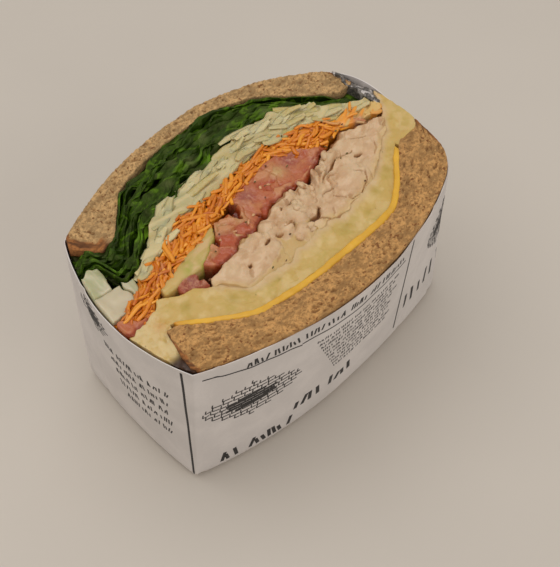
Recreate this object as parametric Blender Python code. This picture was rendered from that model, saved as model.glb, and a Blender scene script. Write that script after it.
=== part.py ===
"""Half of a thick chicken breast sandwich, standing on its paper wrap with the cut face up.

Frame: origin at the bottom centre, +X along the cut from its wide end to its narrow end,
+Y towards the back slice, +Z up. Lengths are metres.

The body is a block that leans outwards towards the cut face. A place in it is given by
u (0 at the left end, 1 at the right end), v (0 at the front slice's outside, 1 at the back
slice's outside) and its height. Every layer is the stretch of the block between two seams,
which are drawn on the cut face and run down through the food.
"""

import math
from collections import namedtuple

import bmesh
import bpy
import numpy as np

MM = 0.001

# Driving dimensions.
FACE_Z = 69 * MM            # height of the cut face
RIM_Z = 67.4 * MM           # height of the wrap's upper edge
PAPER = 0.6 * MM            # the wrap with its folds
GAP = 0.3 * MM              # clearance between pieces that touch
FOOT_RADIUS = 4 * MM        # rounding where the sides meet the bottom
CHEESE_THICKNESS = 2.4 * MM
FRONT_CREST_U = 0.52        # where the front slice bulges most
BACK_CREST_U = 0.45         # where the back slice bulges most
ROUND_END = 0.35            # share of its width that a piece keeps at a rounded end
RIM_WAVE = 0.5 * MM         # how far the wrap's edge rises and falls
THINNEST = 0.8 * MM         # a layer's least thickness
FOLD_RISE = 2.2 * MM        # how far the wrap's end fold stands above its edge

FOOD_BASE_Z = PAPER + GAP

# The block's outline: x of the two ends, y of the two long sides, and how far the ends bulge.
Outline = namedtuple(
    "Outline",
    "left_front left_back left_bulge right right_bulge "
    "front_left front_crest front_right back_left back_crest back_right corner",
)
FACE = Outline(
    left_front=-54 * MM, left_back=-46.5 * MM, left_bulge=7.5 * MM,
    right=55 * MM, right_bulge=3 * MM,
    front_left=-26.5 * MM, front_crest=-42 * MM, front_right=-28 * MM,
    back_left=32.5 * MM, back_crest=42 * MM, back_right=19.5 * MM, corner=7 * MM,
)
BASE = Outline(
    left_front=-51 * MM, left_back=-46 * MM, left_bulge=1.5 * MM,
    right=56 * MM, right_bulge=1 * MM,
    front_left=-21 * MM, front_crest=-31 * MM, front_right=-27 * MM,
    back_left=30 * MM, back_crest=33 * MM, back_right=26 * MM, corner=3 * MM,
)
CORNER_SPAN_U = 0.08        # share of the length over which the front right corner rounds
LENGTH = FACE.right - FACE.left_front
STEP_CLEARANCE_U = 5 * GAP / LENGTH
END_CLEARANCE_U = 5 * GAP / LENGTH
COLUMNS = 40                # sections along the whole length, shared by all layers
END_STEPS = 14              # steps across the wrap's ends
FOOT_HEIGHTS = (4.4 * MM, 2 * MM)

# Where the slices start and end, in millimetres along the cut face.
FRONT_SLICE_START = -51.5
BACK_SLICE_END = 54
CHEESE_START, CHEESE_END = -46, 44

# Seams on the cut face, in millimetres from the origin, from the left end to the right end.
FRONT_CRUMB = ((-56, -11), (-48, -12.5), (-39, -19), (-26, -27.5), (0, -30.5),
               (24, -30.5), (34, -25), (42, -18), (48, -14), (56, -12.5))
EGG_BACK = ((-57, -5.5), (-50, -5.5), (-44, -3.5), (-36, -7.5), (-30, -10), (-22, -19),
            (5, -19.5), (26, -19), (34, -16), (41, -11), (47, -8), (52, -3.5), (54, 0), (57, 4))
STRIP_FRONT = ((-42, -3.5), (-26, -3.2), (-19, 0), (-14, 4.4))
CHICKEN_BACK = ((-30, -7.5), (-14, -6), (3, -3.5), (20, -3), (28, 0), (37, 1), (46, -2), (52, -3.5))
CHICKEN_MIDDLE = ((-8, -9), (4, -10), (12, -12.5), (17, -9), (24, -5.5), (31, -1))
CARROT_FRONT = ((-57, -0.5), (-50, -4.5), (-44, -1.5), (-35, 1.5), (-27, 3.4), (-18, 4.8),
                (-8, 6.5), (3, 8), (14, 9), (22, 7), (28, 1.8), (37, 2.4), (46, 0), (52, -0.8))
CARROT_BACK = ((-57, 1), (-52, 1), (-47, 2.5), (-42, 6), (-30, 9), (-20, 13), (-5, 13),
               (12, 15), (28, 12), (38, 9), (46, 6), (53, 3))
RIB_MIDDLE = ((-57, 10.5), (-46, 9))
LETTUCE_FRONT = ((-57, 18), (-48, 17.5), (-44.5, 8.5), (-38, 9.5), (-33, 12), (-26, 18),
                 (-4, 20.5), (13, 23), (29, 21), (35, 17), (42, 10), (50, 5.5), (56, 5))
BACK_CRUMB = ((-50, 29), (-46, 25), (-42, 21), (-37, 22.5), (-31, 27.5), (-23, 34), (3, 37.3),
              (21, 34.5), (32, 29), (42, 18), (49, 13), (56, 12))


def lerp(start, end, share):
    """The value a share of the way from start to end."""
    return start + (end - start) * share


def crest_line(u, left, crest, right, crest_u):
    """A side's y: left at one end, right at the other, with a crest between them."""
    if u < crest_u:
        return crest - (crest - left) * ((crest_u - u) / crest_u) ** 2
    return crest - (crest - right) * ((u - crest_u) / (1 - crest_u)) ** 2.3


def front_y(outline, u):
    """The front side, drawn in where its right corner rounds."""
    y = crest_line(u, outline.front_left, outline.front_crest, outline.front_right, FRONT_CREST_U)
    past = max(0.0, (u - 1 + CORNER_SPAN_U) / CORNER_SPAN_U)
    return y + outline.corner * (1 - math.sqrt(max(0.0, 1 - past * past)))


def back_y(outline, u):
    """The back side."""
    return crest_line(u, outline.back_left, outline.back_crest, outline.back_right, BACK_CREST_U)


def end_x(outline, v):
    """The x of the left end and of the right end at v."""
    bulge = 4 * v * (1 - v)
    left = lerp(outline.left_front, outline.left_back, v) - outline.left_bulge * bulge
    return left, outline.right + outline.right_bulge * bulge


def plan_point(outline, u, v):
    """The x and y of u, v on one outline."""
    left, right = end_x(outline, v)
    return lerp(left, right, u), lerp(front_y(outline, u), back_y(outline, u), v)


def foot_inset(z):
    """How far the side is drawn in at height z, where it rounds into the bottom."""
    if z >= FOOT_RADIUS:
        return 0.0
    return FOOT_RADIUS - math.sqrt(FOOT_RADIUS ** 2 - (FOOT_RADIUS - z) ** 2)


def place(u, v, z):
    """The point of the block at u, v and height z."""
    share = min(1.0, z / FACE_Z)
    base_x, base_y = plan_point(BASE, u, v)
    face_x, face_y = plan_point(FACE, u, v)
    inset = foot_inset(z)
    x = lerp(base_x, face_x, share) * (1 - inset / BASE.right)
    y = lerp(base_y, face_y, share) * (1 - inset / BASE.back_left)
    return x, y, z


def face_uv(x, y):
    """The u and v of a point on the cut face."""
    u = v = 0.5
    for _ in range(16):
        front, back = front_y(FACE, u), back_y(FACE, u)
        v = min(1.0, max(0.0, (y - front) / (back - front)))
        left, right = end_x(FACE, v)
        u = min(1.0, max(0.0, (x - left) / (right - left)))
    return u, v


class Seam:
    """A smooth line over the cut face, which gives v from u without overshooting its points."""

    def __init__(self, points, shift=0.0):
        pairs = [face_uv(x * MM, y * MM + shift) for x, y in points]
        self.u = np.array([pair[0] for pair in pairs])
        self.v = np.array([pair[1] for pair in pairs])
        steps = np.maximum(np.diff(self.u), 1e-6)
        rise = np.diff(self.v) / steps
        slope = np.empty(len(self.u))
        slope[0], slope[-1] = rise[0], rise[-1]
        for i in range(1, len(self.u) - 1):
            before, after = rise[i - 1], rise[i]
            mean = (before * steps[i] + after * steps[i - 1]) / (steps[i - 1] + steps[i])
            limit = 3 * min(abs(before), abs(after))
            slope[i] = max(-limit, min(limit, mean)) if before * after > 0 else 0.0
        self.slope = slope

    def __call__(self, u):
        u = min(max(u, self.u[0]), self.u[-1])
        i = int(min(np.searchsorted(self.u, u, side="right"), len(self.u) - 1)) - 1
        step = max(self.u[i + 1] - self.u[i], 1e-6)
        t = (u - self.u[i]) / step
        start = (1 + 2 * t) * (1 - t) ** 2 * self.v[i] + t * (1 - t) ** 2 * step * self.slope[i]
        end = t * t * (3 - 2 * t) * self.v[i + 1] + t * t * (t - 1) * step * self.slope[i + 1]
        return float(start + end)


def outside(v):
    """A seam on the block's own front (v 0) or back (v 1)."""
    return lambda u: v


def uneven(height, pitch, phase=0.0):
    """A lumpy surface of the given height and distance between lumps."""
    def rise(x, y):
        along = math.sin(2 * math.pi * x / pitch + phase)
        aslant = math.sin(2 * math.pi * (0.6 * x + y) / (1.3 * pitch) + 2 * phase + 1)
        return height * 0.5 * (along + aslant)
    return rise


def material(name, colour, roughness, subsurface=0.0):
    """A Principled material."""
    made = bpy.data.materials.new(name)
    made.use_nodes = True
    shader = made.node_tree.nodes["Principled BSDF"]
    shader.inputs["Base Color"].default_value = (*colour, 1)
    shader.inputs["Roughness"].default_value = roughness
    shader.inputs["Subsurface Weight"].default_value = subsurface
    return made


def finish(name, bm, surface):
    """Turn a closed bmesh into a named object with its material."""
    bmesh.ops.recalc_face_normals(bm, faces=bm.faces)
    mesh = bpy.data.meshes.new(name)
    bm.to_mesh(mesh)
    bm.free()
    mesh.shade_smooth()
    mesh.set_sharp_from_angle(angle=math.radians(40))
    mesh.materials.append(surface)
    made = bpy.data.objects.new(name, mesh)
    bpy.context.collection.objects.link(made)
    return made


def split(corners):
    """Two triangles from a quad, cut along the diagonal that falls towards +X and +Y.

    Neighbouring pieces have twisted walls, which stay apart when all are cut the same way.
    """
    a, b, c, d = corners
    if fall(a, c) < fall(b, d):
        return (a, b, c), (a, c, d)
    return (a, b, d), (b, c, d)


def fall(start, end):
    """Negative on a diagonal that goes down as it goes towards +X, or +Y where it is steeper."""
    step = end.co - start.co
    return (step.x + 0.5 * step.y) * step.z


def bridge(bm, rings):
    """Skin a row of closed rings that have the same number of points, and cap both ends."""
    rows = [[bm.verts.new(point) for point in ring] for ring in rings]
    for near, far in zip(rows, rows[1:]):
        for i in range(len(near)):
            j = (i + 1) % len(near)
            for triangle in split((near[i], near[j], far[j], far[i])):
                bm.faces.new(triangle)
    bm.faces.new(rows[0][::-1])
    bm.faces.new(rows[-1])


def end_taper(u, start, end, reach):
    """Share of its full width that a piece has at u, where its ends are rounded over reach."""
    if reach == 0:
        return 1.0
    near = min(u - start, end - u) / reach
    if near >= 1:
        return 1.0
    return lerp(ROUND_END, 1.0, math.sqrt(1 - (1 - max(near, 0.0)) ** 2))


def layer(name, surface, front, back, x_range, rise=None, across=4, rounded=0.0, dome=0.0, steps=()):
    """One layer or piece of filling between two seams, from the bottom up to the cut face.

    x_range is in millimetres on the cut face; None in it means the block's own end.
    rounded is how far from its ends, in metres, the piece narrows; dome lifts its middle.
    steps are the u values at which a seam jumps.
    """
    start = 0.0 if x_range[0] is None else piece_end_u(x_range[0], front, back)
    end = 1.0 if x_range[1] is None else piece_end_u(x_range[1], front, back)
    half_gap = 0.5 * GAP / LENGTH
    marks = [max(start + half_gap, END_CLEARANCE_U), min(end - half_gap, 1 - END_CLEARANCE_U)]
    for step in steps:
        marks += [step - half_gap, step + half_gap]
    shared = [i / COLUMNS for i in range(COLUMNS + 1)]
    inside = [u for u in shared if marks[0] < u < marks[1]]
    clear = [u for u in inside if min(abs(u - mark) for mark in marks) > 2 * half_gap]
    rings = []
    for u in sorted(marks + clear):
        taper = end_taper(u, start, end, rounded / LENGTH)
        crown = dome * math.sin(math.pi * (u - start) / (end - start))
        rings.append(layer_ring(u, front, back, taper, rise, across, crown))
    bm = bmesh.new()
    bridge(bm, rings)
    return finish(name, bm, surface)


def piece_end_u(x, front, back):
    """The u at which the middle of the stretch between two seams has this x, in millimetres."""
    low, high = 0.0, 1.0
    for _ in range(30):
        u = 0.5 * (low + high)
        middle = plan_point(FACE, u, 0.5 * (front(u) + back(u)))[0]
        if middle < x * MM:
            low = u
        else:
            high = u
    return 0.5 * (low + high)


def layer_ring(u, front, back, taper, rise, across, dome):
    """A layer's section at u: over the cut face, down its back side and up its front side."""
    width = back_y(FACE, u) - front_y(FACE, u)
    low, high = front(u) + 0.5 * GAP / width, back(u) - 0.5 * GAP / width
    middle = 0.5 * (low + high)
    half = max(0.5 * (high - low), 0.5 * THINNEST / width) * taper
    ring = []
    for step in range(across + 1):
        v = lerp(middle - half, middle + half, step / across)
        x, y, z = place(u, v, FACE_Z)
        if rise:
            z += rise(x, y)
        ring.append((x, y, z + dome * math.sin(math.pi * step / across)))
    heights = (*FOOT_HEIGHTS, FOOD_BASE_Z)
    ring += [place(u, middle + half, z) for z in heights]
    ring += [place(u, middle - half, z) for z in reversed(heights)]
    return ring


def outset(ring, distance):
    """A closed convex ring of points moved outwards, with its corners kept."""
    moved = []
    count = len(ring)
    for i, point in enumerate(ring):
        before, after = ring[i - 1], ring[(i + 1) % count]
        in_edge = unit(point[0] - before[0], point[1] - before[1])
        out_edge = unit(after[0] - point[0], after[1] - point[1])
        normal = unit(in_edge[1] + out_edge[1], -in_edge[0] - out_edge[0])
        reach = distance / max(0.5, normal[0] * in_edge[1] - normal[1] * in_edge[0])
        moved.append((point[0] + normal[0] * reach, point[1] + normal[1] * reach, point[2]))
    return moved


def unit(x, y):
    """The direction of x, y."""
    size = math.hypot(x, y)
    return x / size, y / size


def outline_walk():
    """The u, v pairs once round the block, anticlockwise from above."""
    along = sorted([i / COLUMNS for i in range(COLUMNS)] + [END_CLEARANCE_U, 1 - END_CLEARANCE_U])
    walk = [(u, 0.0) for u in along]
    walk += [(1.0, i / END_STEPS) for i in range(END_STEPS)]
    walk += [(1 - u, 1.0) for u in along]
    walk += [(0.0, 1 - i / END_STEPS) for i in range(END_STEPS)]
    return walk


def rim_height(u, v):
    """The wrap's upper edge: a slow wave, with the end fold standing up at the right end."""
    wave = RIM_WAVE * math.sin(9 * u + 4 * v)
    fold = 0.0
    if u == 1.0:
        fold = FOLD_RISE * max(0.0, math.sin(math.pi * (v - 0.45) / 0.55))
    return RIM_Z + wave + fold


def paper_wrap(surface):
    """The paper that covers the sides and the bottom: an open tray with thin walls."""
    walk = outline_walk()
    rim = [(*place(u, v, RIM_Z)[:2], rim_height(u, v)) for u, v in walk]
    rings = []
    for z in (0.0, PAPER, *reversed(FOOT_HEIGHTS)):
        rings.append(outset([place(u, v, z) for u, v in walk], GAP + PAPER))
    rings.append(outset(rim, GAP + PAPER))
    rings.append(outset(rim, GAP))
    for z in (*FOOT_HEIGHTS, PAPER):
        rings.append(outset([place(u, v, z) for u, v in walk], GAP))
    bm = bmesh.new()
    bridge(bm, rings)
    return finish("paper_wrap", bm, surface)


def bread(crumb):
    """The two slices. Their outsides are the block's own sides."""
    grain = uneven(0.5 * MM, 17 * MM)
    front_crumb, back_crumb = Seam(FRONT_CRUMB), Seam(BACK_CRUMB)
    layer("bread_front", crumb, outside(0.0), front_crumb, (FRONT_SLICE_START, None), grain, across=3,
          rounded=3 * MM)
    layer("bread_back", crumb, back_crumb, outside(1.0), (None, BACK_SLICE_END), grain,
          across=3, rounded=3 * MM)


def cheese(surface):
    """The thin slice that lies along the front slice."""
    low, high = Seam(FRONT_CRUMB), Seam(FRONT_CRUMB, shift=CHEESE_THICKNESS)
    layer("cheese_slice", surface, low, high, (CHEESE_START, CHEESE_END), across=1)


def egg_salad(surface):
    """The egg filling, which also spills round the front slice's left end."""
    crumb, cheese_back = Seam(FRONT_CRUMB), Seam(FRONT_CRUMB, shift=CHEESE_THICKNESS)
    slice_step = piece_end_u(FRONT_SLICE_START, outside(0.0), crumb) - STEP_CLEARANCE_U
    cheese_from = piece_end_u(CHEESE_START, crumb, cheese_back) - STEP_CLEARANCE_U
    cheese_to = piece_end_u(CHEESE_END, crumb, cheese_back) + STEP_CLEARANCE_U

    def front(u):
        if u < slice_step:
            return 0.0
        if cheese_from < u < cheese_to:
            return cheese_back(u)
        return crumb(u)

    layer("egg_salad", surface, front, Seam(EGG_BACK), (None, None), uneven(0.8 * MM, 11 * MM, 0.7),
          across=4, steps=(slice_step, cheese_from, cheese_to))


def chicken(surface):
    """Five torn chunks of breast."""
    egg_back, middle, back = Seam(EGG_BACK), Seam(CHICKEN_MIDDLE), Seam(CHICKEN_BACK)
    chunks = (
        (egg_back, back, (-28.5, -7)),
        (egg_back, middle, (-6.5, 5.5)),
        (middle, back, (-6.5, 22)),
        (egg_back, middle, (6, 30)),
        (egg_back, back, (30.5, 48.5)),
    )
    for number, (low, high, x_range) in enumerate(chunks, 1):
        layer(f"chicken_chunk_{number}", surface, low, high, x_range, uneven(0.7 * MM, 6 * MM, number),
              across=4, rounded=3 * MM, dome=1.2 * MM)


def tomato(surface):
    """Three overlapping slices in the middle, a small piece and one at the left end."""
    egg_back, strip_front = Seam(EGG_BACK), Seam(STRIP_FRONT)
    chicken_back, carrot_front = Seam(CHICKEN_BACK), Seam(CARROT_FRONT)

    def slice_back(u):
        return min(strip_front(u), carrot_front(u))

    pieces = (
        ("tomato_slice_1", chicken_back, slice_back, (-26, -5)),
        ("tomato_slice_2", chicken_back, carrot_front, (-4.7, 9.7)),
        ("tomato_slice_3", chicken_back, carrot_front, (10, 27.5)),
        ("tomato_piece_small", egg_back, strip_front, (-37, -30.5)),
        ("tomato_piece_end", egg_back, carrot_front, (None, -50)),
    )
    for name, low, high, x_range in pieces:
        layer(name, surface, low, high, x_range, uneven(0.4 * MM, 9 * MM, 2.1), across=3,
              rounded=2 * MM, dome=0.4 * MM)


def green_strip(surface):
    """The pale green strip under the carrot."""
    layer("green_strip", surface, Seam(STRIP_FRONT), Seam(CARROT_FRONT), (-40, -16), across=2,
          rounded=3 * MM, dome=0.5 * MM)


def carrot_shreds(surface):
    """The heap of shredded carrot."""
    layer("carrot_shreds", surface, Seam(CARROT_FRONT), Seam(CARROT_BACK), (None, 51),
          uneven(0.9 * MM, 7 * MM, 1.3), across=3)


def cabbage_shreds(surface):
    """The heap of shredded cabbage."""
    layer("cabbage_shreds", surface, Seam(CARROT_BACK), Seam(LETTUCE_FRONT), (-42, 50),
          uneven(0.9 * MM, 8 * MM, 0.4), across=3)


def lettuce_ribs(surface):
    """The three pale cuts of lettuce rib at the left end."""
    carrot_back, middle, lettuce_front = Seam(CARROT_BACK), Seam(RIB_MIDDLE), Seam(LETTUCE_FRONT)
    pieces = ((middle, lettuce_front, (None, -49.3)), (carrot_back, middle, (None, -48.2)),
              (carrot_back, lettuce_front, (-46.8, -43.2)))
    for number, (low, high, x_range) in enumerate(pieces, 1):
        layer(f"lettuce_rib_{number}", surface, low, high, x_range, across=3,
              rounded=1 * MM, dome=0.3 * MM)


def lettuce(surface):
    """The pile of ruffled leaves against the back slice."""
    layer("lettuce_leaves", surface, Seam(LETTUCE_FRONT), Seam(BACK_CRUMB), (None, 54),
          uneven(0.9 * MM, 9 * MM, 2.6), across=5)


def main():
    """Build every piece in its place."""
    for old in list(bpy.data.objects):
        bpy.data.objects.remove(old)
    bread(material("wholemeal_crumb", (0.42, 0.25, 0.10), 0.9))
    cheese(material("processed_cheese", (0.75, 0.38, 0.03), 0.45, 0.1))
    egg_salad(material("egg_filling", (0.62, 0.48, 0.16), 0.6, 0.1))
    chicken(material("cooked_breast", (0.68, 0.46, 0.30), 0.55, 0.1))
    tomato(material("tomato_flesh", (0.52, 0.15, 0.10), 0.35, 0.1))
    green_strip(material("pale_green_flesh", (0.50, 0.55, 0.20), 0.4, 0.1))
    carrot_shreds(material("carrot", (0.78, 0.24, 0.02), 0.45, 0.1))
    cabbage_shreds(material("cabbage", (0.65, 0.58, 0.32), 0.5, 0.1))
    lettuce_ribs(material("pale_rib", (0.55, 0.52, 0.34), 0.4, 0.1))
    lettuce(material("lettuce_leaf", (0.03, 0.09, 0.01), 0.45))
    paper_wrap(material("greaseproof_paper", (0.47, 0.43, 0.40), 0.6))


main()
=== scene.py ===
"""Looks of the half chicken breast sandwich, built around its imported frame.

Every food layer is the stretch of one leaning block between two seams, as in the frame. A place
in the block is u (0 at the wide left end, 1 at the narrow right end), v (0 at the front slice's
outside, 1 at the back slice's outside) and its height. Lengths are metres.
"""

import math
from collections import namedtuple
from types import SimpleNamespace

import bmesh
import bpy
import numpy as np
from bpy.props import FloatProperty, FloatVectorProperty, IntProperty, PointerProperty
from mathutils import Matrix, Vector


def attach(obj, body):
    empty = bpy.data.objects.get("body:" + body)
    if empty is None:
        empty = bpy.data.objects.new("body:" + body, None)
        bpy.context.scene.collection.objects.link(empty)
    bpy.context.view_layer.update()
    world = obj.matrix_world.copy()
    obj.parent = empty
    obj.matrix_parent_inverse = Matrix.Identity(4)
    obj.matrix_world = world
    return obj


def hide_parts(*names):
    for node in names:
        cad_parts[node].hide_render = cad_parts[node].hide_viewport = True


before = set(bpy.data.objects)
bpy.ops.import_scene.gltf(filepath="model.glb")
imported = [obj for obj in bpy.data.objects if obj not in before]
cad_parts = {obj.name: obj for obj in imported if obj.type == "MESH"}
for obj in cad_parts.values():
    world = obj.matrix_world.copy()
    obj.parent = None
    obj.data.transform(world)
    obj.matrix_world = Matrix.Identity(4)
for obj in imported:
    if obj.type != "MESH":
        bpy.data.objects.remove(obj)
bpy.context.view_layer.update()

bl_info = {
    "name": "Half sandwich looks",
    "version": (1, 0, 0),
    "blender": (4, 5, 0),
    "location": "View3D > Sidebar > Sandwich",
    "description": "Builds bread, fillings, wrap and stage around the packed half sandwich",
    "category": "Object",
}

MM = 0.001

# The block, as in the frame.
FACE_Z = 69 * MM
RIM_Z = 67.4 * MM
PAPER = 0.6 * MM
GAP = 0.3 * MM
FOOT_RADIUS = 4 * MM
FOOD_BASE_Z = PAPER + GAP
FRONT_CREST_U = 0.52
BACK_CREST_U = 0.45
CORNER_SPAN_U = 0.08
ROUND_END = 0.35
BACK_SLICE_END = 54
CHEESE_ENDS = (-46, 44)

Outline = namedtuple(
    "Outline",
    "left_front left_back left_bulge right right_bulge "
    "front_left front_crest front_right back_left back_crest back_right corner",
)
FACE = Outline(
    left_front=-54 * MM, left_back=-46.5 * MM, left_bulge=7.5 * MM,
    right=55 * MM, right_bulge=3 * MM,
    front_left=-26.5 * MM, front_crest=-42 * MM, front_right=-28 * MM,
    back_left=32.5 * MM, back_crest=42 * MM, back_right=19.5 * MM, corner=7 * MM,
)
BASE = Outline(
    left_front=-51 * MM, left_back=-46 * MM, left_bulge=1.5 * MM,
    right=56 * MM, right_bulge=1 * MM,
    front_left=-21 * MM, front_crest=-31 * MM, front_right=-27 * MM,
    back_left=30 * MM, back_crest=33 * MM, back_right=26 * MM, corner=3 * MM,
)
LENGTH = FACE.right - FACE.left_front
END_CLEARANCE_U = 5 * GAP / LENGTH

# What the looks have of their own: the front slice's slanting left end, a thinner cheese, laps
# over the neighbours, torn ends, and the heights at which the walls under a cut top bend.
FRONT_LOOK_START = -52
FRONT_SLANT = 3.3 * MM
CHEESE_THICKNESS = 1.9 * MM
LOOK_LAP = 0.4 * MM
LOOK_END_U = 0.3 * MM / LENGTH
SIDE_INSET = 0.08 * MM
LEAST_HALF_WIDTH = 0.4 * MM
TEAR_PITCH = 3.5 * MM
TEAR_REACH = 5 * MM
TEAR_SALT = 170
WALL_LEVELS = (*(z * MM for z in (64.5, 52, 34, 16, 4.4, 2)), FOOD_BASE_Z)
SHARP_ANGLE = math.radians(60)

# Rounded lumps: how their sides fall, the height far from any, and their soft join.
LUMP_POWER = 1.15
LUMP_FLOOR = -5 * MM
LUMP_JOIN = 0.3 * MM

# Seams on the cut face, in millimetres from the origin, as in the frame.
FRONT_CRUMB = ((-56, -11), (-48, -12.5), (-39, -19), (-26, -27.5), (0, -30.5),
               (24, -30.5), (34, -25), (42, -18), (48, -14), (56, -12.5))
EGG_BACK = ((-57, -5.5), (-50, -5.5), (-44, -3.5), (-36, -7.5), (-30, -10), (-22, -19),
            (5, -19.5), (26, -19), (34, -16), (41, -11), (47, -8), (52, -3.5), (54, 0), (57, 4))
STRIP_FRONT = ((-42, -3.5), (-26, -3.2), (-19, 0), (-14, 4.4))
CHICKEN_BACK = ((-30, -7.5), (-14, -6), (3, -3.5), (20, -3), (28, 0), (37, 1), (46, -2), (52, -3.5))
CHICKEN_MIDDLE = ((-8, -9), (4, -10), (12, -12.5), (17, -9), (24, -5.5), (31, -1))
CARROT_FRONT = ((-57, -0.5), (-50, -4.5), (-44, -1.5), (-35, 1.5), (-27, 3.4), (-18, 4.8),
                (-8, 6.5), (3, 8), (14, 9), (22, 7), (28, 1.8), (37, 2.4), (46, 0), (52, -0.8))
CARROT_BACK = ((-57, 1), (-52, 1), (-47, 2.5), (-42, 6), (-30, 9), (-20, 13), (-5, 13),
               (12, 15), (28, 12), (38, 9), (46, 6), (53, 3))
RIB_MIDDLE = ((-57, 10.5), (-46, 9))
LETTUCE_FRONT = ((-57, 18), (-48, 17.5), (-44.5, 8.5), (-38, 9.5), (-33, 12), (-26, 18),
                 (-4, 20.5), (13, 23), (29, 21), (35, 17), (42, 10), (50, 5.5), (56, 5))
BACK_CRUMB = ((-50, 29), (-46, 25), (-42, 21), (-37, 22.5), (-31, 27.5), (-23, 34), (3, 37.3),
              (21, 34.5), (32, 29), (42, 18), (49, 13), (56, 12))


def paint(red, green, blue):
    """A linear colour from the 0 to 255 values of a screen colour."""
    return tuple(
        c / 12.92 if c <= 0.04045 else ((c + 0.055) / 1.055) ** 2.4
        for c in (red / 255, green / 255, blue / 255)
    )


def length(name, description, default):
    """A size that a user may change."""
    return FloatProperty(name=name, description=description, default=default,
                         subtype="DISTANCE", unit="LENGTH", precision=5)


def colour(name, description, rgb):
    """A colour that a user may change."""
    return FloatVectorProperty(name=name, description=description, default=paint(*rgb),
                               subtype="COLOR", size=3, min=0, max=1)


class SandwichSizes(bpy.types.PropertyGroup):
    """Sizes and counts of the modelled detail."""

    pore: length("Pore", "Distance between the larger holes of the crumb", 1.8 * MM)
    pore_depth: length("Pore depth", "Depth of the crumb's larger holes", 0.65 * MM)
    egg_lump: length("Egg lump", "Size of the lumps in the egg filling", 4.2 * MM)
    shred_length: length("Shred length", "Longest carrot or cabbage shred", 11 * MM)
    carrot_width: length("Carrot width", "Width of a carrot shred", 1.3 * MM)
    cabbage_width: length("Cabbage width", "Width of a cabbage shred", 2.9 * MM)
    leaf_thickness: length("Leaf thickness", "Thickness of a lettuce leaf", 0.35 * MM)
    leaf_count: IntProperty(name="Leaves", description="Number of lettuce leaves", default=11, min=3)
    paper_thickness: length("Paper", "Thickness of the wrap at its edge", 0.3 * MM)


class SandwichColours(bpy.types.PropertyGroup):
    """Base colours of the finishes."""

    crumb: colour("Crumb", "Wholemeal crumb", (192, 154, 103))
    crust: colour("Crust", "Baked crust", (144, 90, 46))
    cheese: colour("Cheese", "Processed cheese", (227, 171, 46))
    egg: colour("Egg", "Egg filling", (206, 174, 104))
    chicken: colour("Chicken", "Cooked breast", (212, 180, 140))
    tomato: colour("Tomato", "Tomato flesh", (184, 102, 64))
    strip: colour("Green strip", "Pale green flesh", (203, 171, 111))
    carrot: colour("Carrot", "Shredded carrot", (226, 134, 28))
    cabbage: colour("Cabbage", "Shredded cabbage", (198, 181, 131))
    rib: colour("Rib", "Lettuce rib", (194, 186, 158))
    leaf: colour("Leaf", "Lettuce leaf", (48, 76, 6))
    paper: colour("Paper", "Greaseproof paper", (220, 212, 206))
    ink: colour("Ink", "Print on the wrap", (26, 23, 23))
    table: colour("Table", "The plain table", (204, 195, 183))


# ---- the block and its seams


def lerp(start, end, share):
    """The value a share of the way from start to end."""
    return start + (end - start) * share


def ease(value, low, high):
    """0 below low, 1 above high and a smooth rise between them."""
    share = np.clip((value - low) / (high - low), 0, 1)
    return share * share * (3 - 2 * share)


def crest_line(u, left, crest, right, crest_u):
    """A side's y: left at one end, right at the other, with a crest between them."""
    before = (crest - left) * (np.maximum(crest_u - u, 0) / crest_u) ** 2
    after = (crest - right) * (np.maximum(u - crest_u, 0) / (1 - crest_u)) ** 2.3
    return crest - before - after


def front_y(outline, u):
    """The front side, drawn in where its right corner rounds."""
    y = crest_line(u, outline.front_left, outline.front_crest, outline.front_right, FRONT_CREST_U)
    past = np.clip((u - 1 + CORNER_SPAN_U) / CORNER_SPAN_U, 0, 1)
    return y + outline.corner * (1 - np.sqrt(1 - past * past))


def back_y(outline, u):
    """The back side."""
    return crest_line(u, outline.back_left, outline.back_crest, outline.back_right, BACK_CREST_U)


def end_x(outline, v):
    """The x of the left end and of the right end at v."""
    bulge = 4 * v * (1 - v)
    left = lerp(outline.left_front, outline.left_back, v) - outline.left_bulge * bulge
    return left, outline.right + outline.right_bulge * bulge


def plan_point(outline, u, v):
    """The x and y of u, v on one outline."""
    left, right = end_x(outline, v)
    return lerp(left, right, u), lerp(front_y(outline, u), back_y(outline, u), v)


def place(u, v, z):
    """The point of the block at u, v and height z. Takes numbers or arrays."""
    base_x, base_y = plan_point(BASE, u, v)
    face_x, face_y = plan_point(FACE, u, v)
    share = np.minimum(1.0, z / FACE_Z)
    low = FOOT_RADIUS - np.minimum(z, FOOT_RADIUS)
    inset = FOOT_RADIUS - np.sqrt(FOOT_RADIUS ** 2 - low ** 2)
    x = lerp(base_x, face_x, share) * (1 - inset / BASE.right)
    y = lerp(base_y, face_y, share) * (1 - inset / BASE.back_left)
    return np.stack(np.broadcast_arrays(x, y, z), axis=-1)


def face_uv(x, y):
    """The u and v of points on the cut face."""
    u = np.full(np.shape(x), 0.5)
    v = u.copy()
    for _ in range(16):
        front, back = front_y(FACE, u), back_y(FACE, u)
        v = np.clip((y - front) / (back - front), 0, 1)
        left, right = end_x(FACE, v)
        u = np.clip((x - left) / (right - left), 0, 1)
    return u, v


def block_width(u):
    """The width of the cut face at u."""
    return back_y(FACE, u) - front_y(FACE, u)


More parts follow.
